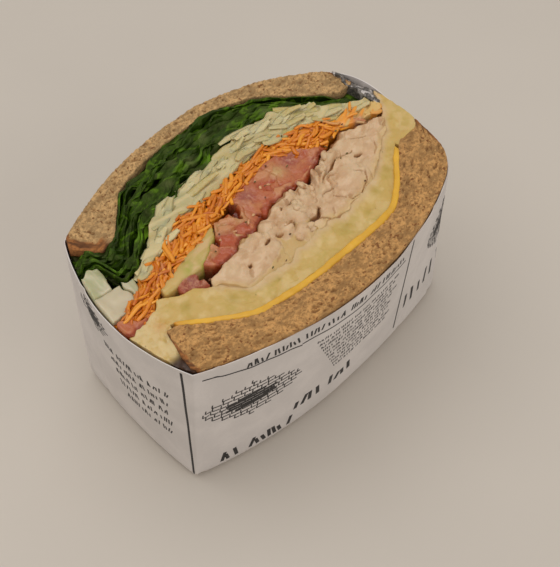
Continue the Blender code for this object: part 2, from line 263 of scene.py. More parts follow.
class Seam:
    """A smooth line over the cut face, a little ragged, which gives v from u."""

    def __init__(self, points, shift=0.0, ragged=0.0, salt=0):
        across = np.array(points, float) * MM
        self.u, self.v = face_uv(across[:, 0], across[:, 1] + shift)
        self.ragged, self.salt = ragged, salt
        steps = np.maximum(np.diff(self.u), 1e-6)
        rise = np.diff(self.v) / steps
        slope = np.concatenate([rise[:1], np.zeros(len(rise) - 1), rise[-1:]])
        before, after = rise[:-1], rise[1:]
        mean = (before * steps[1:] + after * steps[:-1]) / (steps[:-1] + steps[1:])
        limit = 3 * np.minimum(abs(before), abs(after))
        slope[1:-1] = np.where(before * after > 0, np.clip(mean, -limit, limit), 0)
        self.slope = slope

    def __call__(self, u):
        u = np.clip(u, self.u[0], self.u[-1])
        i = np.clip(np.searchsorted(self.u, u, side="right"), 1, len(self.u) - 1) - 1
        step = np.maximum(self.u[i + 1] - self.u[i], 1e-6)
        t = (u - self.u[i]) / step
        start = (1 + 2 * t) * (1 - t) ** 2 * self.v[i] + t * (1 - t) ** 2 * step * self.slope[i]
        end = t * t * (3 - 2 * t) * self.v[i + 1] + t * t * (t - 1) * step * self.slope[i + 1]
        wander = self.ragged * rough(u * LENGTH, 0 * u, 3.2 * MM, 3, self.salt)
        return start + end + wander / block_width(u)


def outside(v):
    """A seam on the block's own front (v 0) or back (v 1)."""
    return lambda u: v + 0 * u


def shared_seams():
    """The seams that neighbouring pieces share, with the raggedness of torn food."""
    return SimpleNamespace(
        front_crumb=Seam(FRONT_CRUMB, ragged=0.15 * MM, salt=3),
        cheese_back=Seam(FRONT_CRUMB, shift=CHEESE_THICKNESS, ragged=0.25 * MM, salt=4),
        egg_back=Seam(EGG_BACK, ragged=0.9 * MM, salt=5),
        strip_front=Seam(STRIP_FRONT, ragged=0.5 * MM, salt=6),
        chicken_back=Seam(CHICKEN_BACK, ragged=0.9 * MM, salt=7),
        chicken_middle=Seam(CHICKEN_MIDDLE, ragged=1.0 * MM, salt=8),
        carrot_front=Seam(CARROT_FRONT, ragged=0.7 * MM, salt=9),
        carrot_back=Seam(CARROT_BACK, ragged=0.6 * MM, salt=10),
        rib_middle=Seam(RIB_MIDDLE),
        lettuce_front=Seam(LETTUCE_FRONT, ragged=0.8 * MM, salt=11),
        back_crumb=Seam(BACK_CRUMB, ragged=0.3 * MM, salt=12),
    )


def piece_end_u(x, front, back):
    """The u at which the middle of the stretch between two seams has this x, in millimetres."""
    low, high = 0.0, 1.0
    for _ in range(30):
        u = np.float64(0.5 * (low + high))
        middle = plan_point(FACE, u, 0.5 * (front(u) + back(u)))[0]
        if middle < x * MM:
            low = u
        else:
            high = u
    return float(0.5 * (low + high))


# ---- uneven surfaces


COLUMN_MIX, ROW_MIX, SALT_MIX, LAST_MIX = 374761393, 668265263, 1442695041, 1274126177


def scramble(column, row, salt):
    """A repeatable value from 0 to 1 for each square of a grid."""
    mixed = column.astype(np.int64) * COLUMN_MIX + row.astype(np.int64) * ROW_MIX
    mixed = (mixed + salt * SALT_MIX) & 0xFFFFFFFF
    mixed = ((mixed ^ (mixed >> 13)) * LAST_MIX) & 0xFFFFFFFF
    return ((mixed ^ (mixed >> 16)) & 0xFFFFFF) / 0x1000000


def waves(x, y, salt):
    """Smooth unevenness from -1 to 1 with one swing per unit."""
    column, row = np.floor(x), np.floor(y)
    across, along = ease(x - column, 0, 1), ease(y - row, 0, 1)
    near = lerp(scramble(column, row, salt), scramble(column + 1, row, salt), across)
    far = lerp(scramble(column, row + 1, salt), scramble(column + 1, row + 1, salt), across)
    return 2 * lerp(near, far, along) - 1


def rough(x, y, pitch, octaves, salt):
    """Unevenness in several sizes, the largest of the given pitch, from about -1 to 1."""
    total = 0 * x
    for octave in range(octaves):
        finer = 2 ** octave / pitch
        total = total + waves(x * finer + 31 * octave, y * finer, salt + octave) / 2 ** octave
    return total


def uneven_face(spot, pitch, salt):
    """Unevenness in two sizes over the cut face."""
    return rough(spot.x, spot.y, pitch, 2, salt)


def cells(x, y, salt):
    """Distances to the two nearest of points scattered one per unit, and the nearest's own value."""
    column, row = np.floor(x), np.floor(y)
    near = np.full(np.shape(x), 9.0)
    second, own = near.copy(), near.copy()
    for right in (-1, 0, 1):
        for up in (-1, 0, 1):
            i, j = column + right, row + up
            away = np.hypot(i + scramble(i, j, salt) - x, j + scramble(i, j, salt + 7) - y)
            closer = away < near
            second = np.where(closer, near, np.minimum(second, away))
            own = np.where(closer, scramble(i, j, salt + 13), own)
            near = np.where(closer, away, near)
    return near, second, own


def turned(x, y, angle):
    """The coordinates along and across a direction."""
    return x * math.cos(angle) + y * math.sin(angle), y * math.cos(angle) - x * math.sin(angle)


def higher(first, second, soft):
    """The larger of two heights, with a soft join."""
    return 0.5 * (first + second + np.sqrt((first - second) ** 2 + soft * soft))


def domes(x, y, lumps):
    """Rounded lumps: the height of the highest at each point, and of the next one."""
    high = np.full(np.shape(x), LUMP_FLOOR)
    second = high.copy()
    for lump in lumps:
        along, across = turned(x - lump.x * MM, y - lump.y * MM, math.radians(lump.turn))
        away = (along / (lump.long * MM)) ** 2 + (across / (lump.short * MM)) ** 2
        crown = lump.tall * MM * (1 - away ** LUMP_POWER)
        second = np.where(crown > high, high, np.maximum(second, crown))
        high = higher(high, np.maximum(crown, LUMP_FLOOR), LUMP_JOIN)
    return high, second


def grooves(x, y, cracks):
    """Cracks along paths: a share from 0 to 1 inside them, and the depth that they cut."""
    inside, cut = 0 * x, 0 * x
    for reach, depth, path in cracks:
        spans = len(path) - 1
        for i in range(spans):
            start, end = np.array(path[i]) * MM, np.array(path[i + 1]) * MM
            step = end - start
            share = np.clip(((x - start[0]) * step[0] + (y - start[1]) * step[1]) / (step @ step), 0, 1)
            near = np.hypot(x - start[0] - share * step[0], y - start[1] - share * step[1])
            local = reach * MM * (0.4 + 0.6 * np.sin(math.pi * (i + share) / spans))
            part = ease(local - near, -0.35 * local, 0.5 * local)
            inside = np.maximum(inside, min(1.0, depth / 1.8) * part)
            cut = np.maximum(cut, depth * MM * part)
    return inside, cut


def patches(x, y, spots):
    """Soft round patches, from 0 to 1, each given as x, y and radius in millimetres."""
    total = 0 * x
    for at_x, at_y, radius in spots:
        away = ((x - at_x * MM) ** 2 + (y - at_y * MM) ** 2) / (radius * MM) ** 2
        total = np.maximum(total, np.exp(-away))
    return total


# ---- meshes


# Each point of a cut top: where it lies, along and across the block too, how far it is from the
# edge and from the nearer end, and the piece's width there.
Spot = namedtuple("Spot", "x y along across edge end width")


def new_mesh(name, points, faces):
    """A mesh of the given points and faces."""
    mesh = bpy.data.meshes.new(name)
    mesh.from_pydata(points, [], faces)
    return mesh


def store(mesh, attributes):
    """Write point attributes onto a mesh."""
    for key, values in attributes.items():
        layer = mesh.attributes.new(key, "FLOAT", "POINT")
        layer.data.foreach_set("value", np.asarray(values, np.float32).ravel())


def turn_outwards(mesh):
    """Turn a mesh's faces outwards, each closed bit by itself."""
    bm = bmesh.new()
    bm.from_mesh(mesh)
    bmesh.ops.recalc_face_normals(bm, faces=bm.faces)
    bm.to_mesh(mesh)
    bm.free()


def show(name, data):
    """A new object in the scene."""
    made = bpy.data.objects.new(name, data)
    bpy.context.scene.collection.objects.link(made)
    return made


def piece_object(name, mesh, surface, attributes=None):
    """A named object with its mesh's faces outwards, its finish and its point attributes."""
    store(mesh, attributes or {})
    turn_outwards(mesh)
    mesh.shade_smooth()
    mesh.set_sharp_from_angle(angle=SHARP_ANGLE)
    mesh.materials.clear()
    mesh.materials.append(surface)
    return show(name, mesh)


def grid_faces(rows, columns, first=0, wrap=False):
    """The quads of a grid of points, row after row, closed round its columns if asked."""
    count = columns if wrap else columns - 1
    return [
        (first + r * columns + c, first + r * columns + (c + 1) % columns,
         first + (r + 1) * columns + (c + 1) % columns, first + (r + 1) * columns + c)
        for r in range(rows - 1)
        for c in range(count)
    ]


class Layer:
    """The fine mesh of one piece between two seams: its cut top, its walls and its base."""

    def __init__(self, front, back, start, end, grain, rounded=0.0, blunt=ROUND_END, slant=0.0,
                 torn=0.0):
        self.start = LOOK_END_U if start is None else piece_end_u(start, front, back) - LOOK_END_U
        self.end = 1 - LOOK_END_U if end is None else piece_end_u(end, front, back) + LOOK_END_U
        samples = np.linspace(self.start, self.end, 60)
        widest = float(np.max((back(samples) - front(samples)) * block_width(samples)))
        self.columns = max(8, math.ceil((self.end - self.start) * LENGTH / grain)) + 1
        self.rows = max(5, math.ceil(widest / grain)) + 1
        even = np.linspace(self.start, self.end, self.columns)[:, None]
        t = np.linspace(0, 1, self.rows)[None, :]
        lean = np.clip(1 - (even - self.start) * LENGTH / (4 * max(slant, MM)), 0, 1)
        u = even + slant / LENGTH * (2 * t - 1) * lean
        if torn:
            across = lerp(front(even), back(even), t) * block_width(even)
            for x, away in ((start, even - self.start), (end, self.end - even)):
                if x is not None:
                    wander = rough(across, 0 * across, TEAR_PITCH, 2, TEAR_SALT + round(x / 3))
                    u = u + torn / LENGTH * wander * np.clip(1 - away * LENGTH / TEAR_REACH, 0, 1)
        width = block_width(u)
        inset = SIDE_INSET / width
        low = np.maximum(front(u) - 0.5 * LOOK_LAP / width, inset)
        high = np.minimum(back(u) + 0.5 * LOOK_LAP / width, 1 - inset)
        half = np.maximum(0.5 * (high - low), LEAST_HALF_WIDTH / width) * self.taper(even, rounded, blunt)
        middle = 0.5 * (low + high)
        self.u, self.v = np.broadcast_arrays(u, middle + half * (2 * t - 1))
        self.t = np.broadcast_to(t, self.u.shape)
        self.left = np.broadcast_to((even - self.start) * LENGTH, self.u.shape)
        self.right = np.broadcast_to((self.end - even) * LENGTH, self.u.shape)
        flat = place(self.u, self.v, FACE_Z)
        band = np.broadcast_to(2 * half * width, self.u.shape)
        end_distance = np.minimum(self.left, self.right)
        side_distance = np.minimum(self.t, 1 - self.t) * band
        self.spot = Spot(flat[..., 0], flat[..., 1], self.u * LENGTH, self.v * width,
                         np.minimum(end_distance, side_distance), end_distance, band)

    def taper(self, u, rounded, blunt):
        """Share of its full width that the piece has at u."""
        if not rounded:
            return 1.0
        near = np.minimum(u - self.start, self.end - u) * LENGTH / rounded
        rest = 1 - np.clip(near, 0, 1)
        return lerp(blunt, 1.0, np.sqrt(1 - rest * rest))

    def rim(self):
        """The indices of the top's edge, once round."""
        last_row, last_column = self.rows - 1, self.columns - 1
        loop = [c * self.rows for c in range(self.columns)]
        loop += [last_column * self.rows + r for r in range(1, self.rows)]
        loop += [c * self.rows + last_row for c in range(last_column - 1, -1, -1)]
        loop += [r for r in range(last_row - 1, 0, -1)]
        return loop

    def build(self, name, height, surface, attributes, edge_round=0.3 * MM):
        """Close the piece under a top that stands height above the cut face."""
        rest = 1 - np.clip(self.spot.edge / edge_round, 0, 1)
        fall = 0.9 * edge_round * (1 - np.sqrt(1 - rest * rest))
        top = place(self.u, self.v, FACE_Z).reshape(-1, 3)
        top[:, 2] += (height - fall).ravel()
        rim = np.array(self.rim())
        u, v = self.u.ravel()[rim], self.v.ravel()[rim]
        walls = [place(u, v, np.full(len(rim), z)) for z in WALL_LEVELS]
        points = np.concatenate([top, *walls])
        faces = grid_faces(self.columns, self.rows)
        count = len(rim)
        above = rim
        for step in range(len(WALL_LEVELS)):
            below = len(top) + step * count + np.arange(count)
            faces += [
                (int(above[i]), int(below[i]), int(below[(i + 1) % count]), int(above[(i + 1) % count]))
                for i in range(count)
            ]
            above = below
        faces.append(tuple(int(i) for i in above))
        spread = {
            key: np.concatenate([values.ravel(), *[values.ravel()[rim]] * len(WALL_LEVELS)])
            for key, values in attributes.items()
        }
        return piece_object(name, new_mesh(name, points.tolist(), faces), surface, spread)

    def bed(self, name, height, attributes):
        """Only the top, as an open sheet that things are scattered on."""
        top = place(self.u, self.v, FACE_Z).reshape(-1, 3)
        top[:, 2] += np.broadcast_to(height, self.u.shape).ravel()
        mesh = new_mesh(name, top.tolist(), grid_faces(self.columns, self.rows))
        store(mesh, attributes)
        return show(name, mesh)


def skin(name, rings, surface, attributes=None):
    """A closed piece through a row of closed rings, rings being an array of points."""
    count, around = rings.shape[:2]
    faces = grid_faces(count, around, wrap=True)
    faces.append(tuple(range(around)))
    faces.append(tuple(range((count - 1) * around, count * around)))
    return piece_object(name, new_mesh(name, rings.reshape(-1, 3).tolist(), faces), surface, attributes)


def join(name, parts):
    """One object from several."""
    bm = bmesh.new()
    for part in parts:
        bm.from_mesh(part.data)
    mesh = parts[0].data.copy()
    bm.to_mesh(mesh)
    bm.free()
    for part in parts:
        old = part.data
        bpy.data.objects.remove(part)
        bpy.data.meshes.remove(old)
    mesh.name = name
    return show(name, mesh)


def seat(piece, slot, *nodes):
    """Let a finished piece ride on the body and stand for its nodes; the slot is not used."""
    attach(piece, "root")
    if nodes:
        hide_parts(*nodes)
    return piece


# ---- finishes


class Nodes:
    """Adding nodes to a tree, for finishes and scatters alike."""

    def feed(self, socket, value):
        """Link a node's output into a socket, or set a fixed value."""
        if isinstance(value, bpy.types.NodeSocket):
            self.tree.links.new(value, socket)
        elif isinstance(value, tuple) and len(value) == 3 and socket.type == "RGBA":
            socket.default_value = (*value, 1)
        else:
            socket.default_value = value

    def add(self, kind, output=0, settings=None, **sockets):
        """A node with its inputs, named or numbered as in_0, linked or set; gives one output."""
        node = self.tree.nodes.new(kind)
        for key, value in (settings or {}).items():
            setattr(node, key, value)
        for key, value in sockets.items():
            self.feed(node.inputs[int(key[3:]) if key.startswith("in_") else key.replace("_", " ")], value)
        return node.outputs[output]

    def maths(self, operation, first, second=0.0):
        """One step of arithmetic."""
        return self.add("ShaderNodeMath", 0, {"operation": operation}, in_0=first, in_1=second)

    def times(self, first, second):
        """A product."""
        return self.maths("MULTIPLY", first, second)


class Finish(Nodes):
    """A Principled material whose patterns lie on Object coordinates or on attributes."""

    def __init__(self, name, roughness, **sockets):
        self.material = bpy.data.materials.new(name)
        self.material.use_nodes = True
        self.tree = self.material.node_tree
        self.shader = self.tree.nodes["Principled BSDF"]
        self.shader.inputs["Roughness"].default_value = roughness
        for key, value in sockets.items():
            self.shader.inputs[key.replace("_", " ")].default_value = value
        self.object = self.add("ShaderNodeTexCoord", "Object")
        self.colour = None

    def stretched(self, scale, turn=0.0):
        """Object coordinates, turned about the vertical and stretched."""
        return self.add("ShaderNodeMapping", Scale=scale, Rotation=(0, 0, turn), Vector=self.object)

    def noise(self, pitch, detail=3.0, roughness=0.55, distortion=0.0, vector=None):
        """Noise of the given pitch in metres."""
        return self.add("ShaderNodeTexNoise", Scale=1 / pitch, Detail=detail, Roughness=roughness,
                        Distortion=distortion, Vector=vector or self.object)

    def spots(self, pitch):
        """Distance to scattered points, in units of the pitch."""
        return self.add("ShaderNodeTexVoronoi", Scale=1 / pitch, Vector=self.object)

    def attribute(self, name):
        """A point attribute of the mesh."""
        return self.add("ShaderNodeAttribute", "Fac", {"attribute_name": name})

    def some(self, name, share):
        """A point attribute times a share."""
        return self.times(self.attribute(name), share)

    def between(self, value, low, high, start=0.0, end=1.0):
        """The value mapped from low to high onto start to end, smoothly and clamped."""
        return self.add("ShaderNodeMapRange", 0, {"interpolation_type": "SMOOTHSTEP"}, Value=value,
                        From_Min=low, From_Max=high, To_Min=start, To_Max=end)

    def mix(self, share, first, second, blend="MIX"):
        """Two colours mixed by a share."""
        settings = {"data_type": "RGBA", "blend_type": blend}
        return self.add("ShaderNodeMix", 2, settings, in_0=share, in_6=first, in_7=second)

    def bump(self, height, distance, strength):
        """Fine relief on the shader's normal."""
        relief = self.add("ShaderNodeBump", Distance=distance, Strength=strength, Height=height)
        self.feed(self.shader.inputs["Normal"], relief)

    def wash(self, share, colour, blend="MIX"):
        """Lay a colour over the finish's own, by a share."""
        self.colour = self.mix(share, self.colour, colour, blend)

    def done(self, roughness=None):
        """Set the colour, and the roughness where it varies."""
        self.feed(self.shader.inputs["Base Color"], self.colour)
        if roughness is not None:
            self.feed(self.shader.inputs["Roughness"], roughness)
        return self.material


def shade(rgb, factor):
    """A darker or lighter linear colour."""
    return tuple(min(1.0, c * factor) for c in rgb)


def tint(rgb, red, green, blue):
    """A linear colour with its channels scaled."""
    return (min(1.0, rgb[0] * red), min(1.0, rgb[1] * green), min(1.0, rgb[2] * blue))


def flesh(name, roughness, scatter, depth):
    """A moist finish that light enters a little."""
    made = Finish(name, roughness, Subsurface_Weight=scatter, Subsurface_Scale=depth)
    made.shader.inputs["Subsurface Radius"].default_value = (1.0, 0.6, 0.35)
    return made


def bread_finish(colours):
    """Wholemeal crumb with bran, painted shade in its holes, and a baked crust by attribute."""
    made = Finish("wholemeal_bread", 0.92)
    crumb, crust = tuple(colours.crumb), tuple(colours.crust)
    cloudy = made.noise(5 * MM, 4, 0.6)
    grainy = made.noise(0.8 * MM, 3, 0.65)
    made.colour = made.mix(made.between(cloudy, 0.35, 0.62), shade(crumb, 0.58), shade(crumb, 1.2))
    made.colour = made.mix(made.between(grainy, 0.36, 0.6), shade(crumb, 0.64), made.colour)
    coarse = made.noise(1.3 * MM, 3, 0.6, vector=made.stretched((0.6, 1, 1)))
    made.wash(made.between(coarse, 0.5, 0.64, 0, 0.6), tint(crumb, 1.28, 1.28, 1.28))
    made.wash(made.between(coarse, 0.46, 0.34, 0, 0.45), tint(crumb, 0.6, 0.52, 0.44))
    bran = made.between(made.noise(1.3 * MM, 2, 0.5), 0.61, 0.68)
    made.wash(bran, tint(crumb, 0.42, 0.3, 0.22))
    pale = made.noise(1.1 * MM, 2, 0.5, vector=made.stretched((0.7, 1, 1), 0.4))
    pale = made.times(made.between(pale, 0.62, 0.72), 0.55)
    made.wash(pale, tint(crumb, 1.3, 1.35, 1.4))
    made.wash(made.attribute("warm"), (1.0, 0.87, 0.7), "MULTIPLY")
    # Painted shade in the crumb's holes.
    made.wash(made.some("pore", 0.7), tint(crumb, 0.42, 0.32, 0.23))
    made.wash(made.some("dark", 0.6), tint(crumb, 0.5, 0.42, 0.3))
    baked = made.mix(made.between(made.attribute("bake"), -0.5, 0.6), shade(crust, 0.42),
                     tint(crust, 1.35, 1.4, 1.35))
    baked = made.mix(made.between(made.noise(0.8 * MM, 3, 0.6), 0.45, 0.62, 0, 0.6), baked, shade(crust, 0.6))
    made.wash(made.attribute("crust"), baked)
    made.bump(made.noise(0.35 * MM, 2), 0.25 * MM, 0.6)
    return made.done()


def cheese_finish(colours):
    """Smooth processed cheese, a little paler in places."""
    made = flesh("cheese_slice", 0.42, 0.12, 2 * MM)
    base = tuple(colours.cheese)
    cloudy = made.between(made.noise(7 * MM, 2), 0.35, 0.7)
    made.colour = made.mix(cloudy, shade(base, 0.9), tint(base, 1.06, 1.1, 1.3))
    made.wash(made.some("smear", 0.7), tint(base, 0.85, 0.62, 0.9))
    made.bump(made.noise(0.9 * MM, 2), 0.12 * MM, 0.3)
    return made.done()


def egg_finish(colours):
    """Mashed egg: paler lumps of white, olive patches and a few dark specks."""
    made = flesh("egg_filling", 0.5, 0.22, 2.5 * MM)
    base = tuple(colours.egg)
    lumps = made.attribute("lump")
    cloudy = made.between(made.noise(6 * MM, 2), 0.35, 0.68)
    made.colour = made.mix(cloudy, tint(base, 0.95, 0.92, 0.75), base)
    made.wash(made.between(made.noise(4.2 * MM, 2, 0.5), 0.48, 0.68, 0, 0.8), tint(base, 1.12, 1.18, 1.5))
    made.wash(made.between(lumps, 0.6, 0.85, 0, 0.6), tint(base, 1.08, 1.12, 1.4))
    green = made.between(made.noise(6 * MM, 3, 0.55, 0.5), 0.5, 0.66, 0, 0.6)
    made.wash(green, tint(base, 0.82, 0.84, 0.5))
    made.wash(made.some("olive", 0.75), tint(base, 0.72, 0.72, 0.38))
    white = made.some("creamy", made.between(made.noise(2.6 * MM, 3), 0.32, 0.55))
    made.wash(made.times(white, 0.9), tint(base, 1.12, 1.22, 1.75))
    made.wash(made.some("meet", 0.7), tuple(colours.chicken))
    made.wash(made.some("smear", 0.5), tint(base, 0.98, 0.66, 0.4))
    speck = made.between(made.spots(3.6 * MM), 0.07, 0.04)
    made.wash(made.times(speck, 0.6), tint(base, 0.3, 0.26, 0.14))
    # Painted shade, nearly black, in the sunk place by the front slice's end.
    made.wash(made.attribute("shaded_hollow"), tint(base, 0.07, 0.035, 0.025))
    made.bump(made.noise(0.9 * MM, 2), 0.15 * MM, 0.4)
    return made.done(made.between(made.noise(3 * MM, 2), 0.3, 0.7, 0.38, 0.6))


def chicken_finish(colours):
    """Cooked breast: pale fibres, pinker patches and brown shade in the crevices."""
    made = flesh("cooked_breast", 0.5, 0.2, 2 * MM)
    base = tuple(colours.chicken)
    fibres = made.noise(1.0 * MM, 2, 0.5, vector=made.stretched((0.22, 1, 1), 0.75))
    cloudy = made.between(made.noise(6 * MM, 2), 0.35, 0.65)
    made.colour = made.mix(cloudy, tint(base, 0.94, 0.86, 0.82), base)
    made.wash(made.between(made.noise(2.8 * MM, 3), 0.45, 0.62, 0, 0.7), tint(base, 1.12, 1.14, 1.22))
    made.wash(made.between(fibres, 0.45, 0.3, 0, 0.35), tint(base, 0.86, 0.76, 0.66))
    made.wash(made.some("meet", 0.45), tuple(colours.egg))
    # Painted shade in the crevices, from brown to dark brown.
    cavity_shade = made.attribute("cavity_shade")
    made.wash(made.between(cavity_shade, 0.0, 0.6), tint(base, 0.6, 0.42, 0.27))
    made.wash(made.between(cavity_shade, 0.5, 1.0), tint(base, 0.3, 0.17, 0.1))
    made.bump(made.maths("ADD", fibres, made.noise(0.7 * MM, 2)), 0.2 * MM, 0.45)
    return made.done(made.between(made.noise(2.5 * MM, 2), 0.3, 0.7, 0.38, 0.6))


def tomato_finish(colours):
    """Wet tomato: dusty red flesh with pale cut blocks, mauve mottled jelly and painted shade in the
    crevices.
    """
    made = flesh("tomato_flesh", 0.22, 0.2, 2.5 * MM)
    base = tuple(colours.tomato)
    veins = made.noise(2.6 * MM, 3, 0.5, 0.8)
    made.colour = made.mix(made.between(veins, 0.5, 0.66, 0, 0.8), base, tint(base, 1.1, 1.45, 1.3))
    made.wash(made.between(veins, 0.44, 0.3, 0, 0.8), tint(base, 0.85, 0.55, 0.5))
    pale = made.some("pale", made.between(veins, 0.6, 0.4, 0.5, 1.0))
    made.wash(pale, tint(base, 1.2, 2.7, 2.9))
    facet = made.attribute("facet")
    made.wash(made.between(facet, 0.5, 0.75, 0, 0.8), tint(base, 1.2, 1.95, 2.2))
    made.wash(made.between(facet, 0.35, 0.15, 0, 0.8), tint(base, 0.92, 0.58, 0.52))
    flecked = made.between(made.noise(1.3 * MM, 3, 0.6), 0.45, 0.62)
    jelly = made.mix(flecked, tint(base, 0.62, 0.6, 1.15), tint(base, 1.0, 1.7, 2.6))
    made.wash(made.some("mottle", 0.8), jelly)
    # Painted shade in the holes and along the front edge, from brown to dark brown.
    cavity_shade = made.attribute("cavity_shade")
    made.wash(made.between(cavity_shade, 0.0, 0.6), tint(base, 0.62, 0.35, 0.2))
    made.wash(made.between(cavity_shade, 0.5, 1.0), tint(base, 0.34, 0.16, 0.1))
    made.bump(made.noise(1.0 * MM, 2), 0.35 * MM, 0.6)
    return made.done(made.between(veins, 0.3, 0.7, 0.16, 0.4))


def strip_finish(colours):
    """Pale green flesh, whiter along its middle, with a greener rind on one side."""
    made = flesh("pale_green_flesh", 0.3, 0.25, 3 * MM)
    base = tuple(colours.strip)
    streaks = made.noise(1.8 * MM, 2, vector=made.stretched((0.25, 1, 1), 0.35))
    made.colour = made.mix(made.between(streaks, 0.35, 0.65), tint(base, 0.9, 0.95, 0.72),
                           tint(base, 1.08, 1.08, 1.25))
    green = made.some("rind", made.between(made.noise(5 * MM, 2), 0.35, 0.55))
    made.wash(green, tint(base, 0.6, 0.88, 0.2))
    made.wash(made.some("creamy", 0.8), tuple(colours.egg))
    made.bump(made.noise(0.9 * MM, 2), 0.15 * MM, 0.4)
    return made.done()


def shred_finish(name, base, roughness, light, dark, other, scatter=0.12, deep=0.4):
    """Moist shreds, each with its own tone, shaded where they lie deep; other shows by attribute."""
    made = flesh(name, roughness, scatter, 1.5 * MM)
    tone = made.attribute("tone")
    made.colour = made.mix(made.between(tone, 0.0, 0.45), dark, base)
    made.wash(made.between(tone, 0.6, 1.0), light)
    streaks = made.noise(0.9 * MM, 2)
    made.wash(made.between(streaks, 0.35, 0.7, 0, 0.35), light)
    creamy = made.some("creamy", made.between(tone, 0.85, 0.6))
    made.wash(creamy, other)
    made.wash(made.some("mauve", 0.8), paint(165, 105, 100))
    made.wash(made.some("cavity_shade", 0.8), shade(dark, deep))
    made.bump(streaks, 0.15 * MM, 0.4)
    return made.done()


def rib_finish(colours):
    """Pale wet rib with faint green strings, creamier by attribute, with painted shade along its edges."""
    made = flesh("lettuce_rib", 0.3, 0.3, 3 * MM)
    base = tuple(colours.rib)
    strings = made.noise(2.4 * MM, 2, vector=made.stretched((1, 0.3, 0.3)))
    made.colour = made.mix(made.between(strings, 0.4, 0.62), tint(base, 1.12, 1.1, 1.08),
                           tint(base, 0.84, 0.9, 0.72))
    made.wash(made.attribute("cream"), tint(base, 1.1, 1.04, 1.0))
    made.wash(made.attribute("cavity_shade"), tint(base, 0.6, 0.62, 0.42))
    made.bump(made.noise(1.6 * MM, 2), 0.15 * MM, 0.3)
    return made.done()


def leaf_finish(colours):
    """Lettuce leaf: painted shade between the folds, painted light and lighter streaks on them, pale and
    bright bits.
    """
    made = flesh("lettuce_leaf", 0.42, 0.0, 1 * MM)
    made.shader.inputs["Specular IOR Level"].default_value = 0.3
    made.shader.inputs["Specular Tint"].default_value = (1.0, 1.0, 0.45, 1)
    base = tuple(colours.leaf)
    tone = made.attribute("tone")
    streaks = made.noise(2.4 * MM, 3, 0.55, 0.8, vector=made.stretched((0.45, 1, 0.6), 0.25))
    # Painted shade low in the pile, painted light towards the leaves' tops.
    made.colour = made.mix(made.between(tone, 0.0, 0.5), shade(base, 0.14), shade(base, 0.7))
    made.wash(made.between(tone, 0.5, 0.95), tint(base, 2.1, 1.9, 1.6))
    # Lighter and darker streaks along the leaves, partly their own and partly painted highlight and painted
    # shade.
    made.wash(made.between(streaks, 0.52, 0.68, 0, 0.75), tint(base, 3.0, 2.6, 2.6))
    made.wash(made.between(streaks, 0.46, 0.32, 0, 0.7), shade(base, 0.25))
    made.wash(made.some("pale", 0.25), paint(140, 148, 90))
    # The bright bits show only where the painted light is.
    made.wash(made.some("bright", made.between(tone, 0.25, 0.6)), paint(112, 158, 34))
    made.bump(made.maths("ADD", streaks, made.noise(1.3 * MM, 2)), 0.5 * MM, 0.7)
    return made.done()


def paper_finish(colours):
    """Thin greaseproof paper with a faint mottle."""
    made = Finish("greaseproof_paper", 0.55)
    base = tuple(colours.paper)
    made.colour = made.mix(made.between(made.noise(14 * MM, 3), 0.35, 0.7), shade(base, 0.93),
                           shade(base, 1.05))
    fibre = made.noise(0.7 * MM, 3)
    made.wash(made.between(fibre, 0.4, 0.7, 0, 0.2), shade(base, 0.86))
    made.bump(made.maths("ADD", made.noise(5 * MM, 3), made.times(fibre, 0.2)), 0.35 * MM, 0.5)
    return made.done()


def ink_finish(colours):
    """Printed ink, a little worn."""
    made = Finish("wrap_ink", 0.6)
    base = tuple(colours.ink)
    made.colour = made.mix(made.between(made.noise(0.9 * MM, 3), 0.45, 0.75, 0, 0.5), base, shade(base, 5))
    return made.done()


def table_finish(colours):
    """A plain pale table."""
    made = Finish("plain_table", 0.6)
    base = tuple(colours.table)
    cloudy = made.between(made.noise(90 * MM, 2), 0.3, 0.7)
    made.colour = made.mix(cloudy, shade(base, 0.985), shade(base, 1.015))
    return made.done()


# ---- scattered pieces


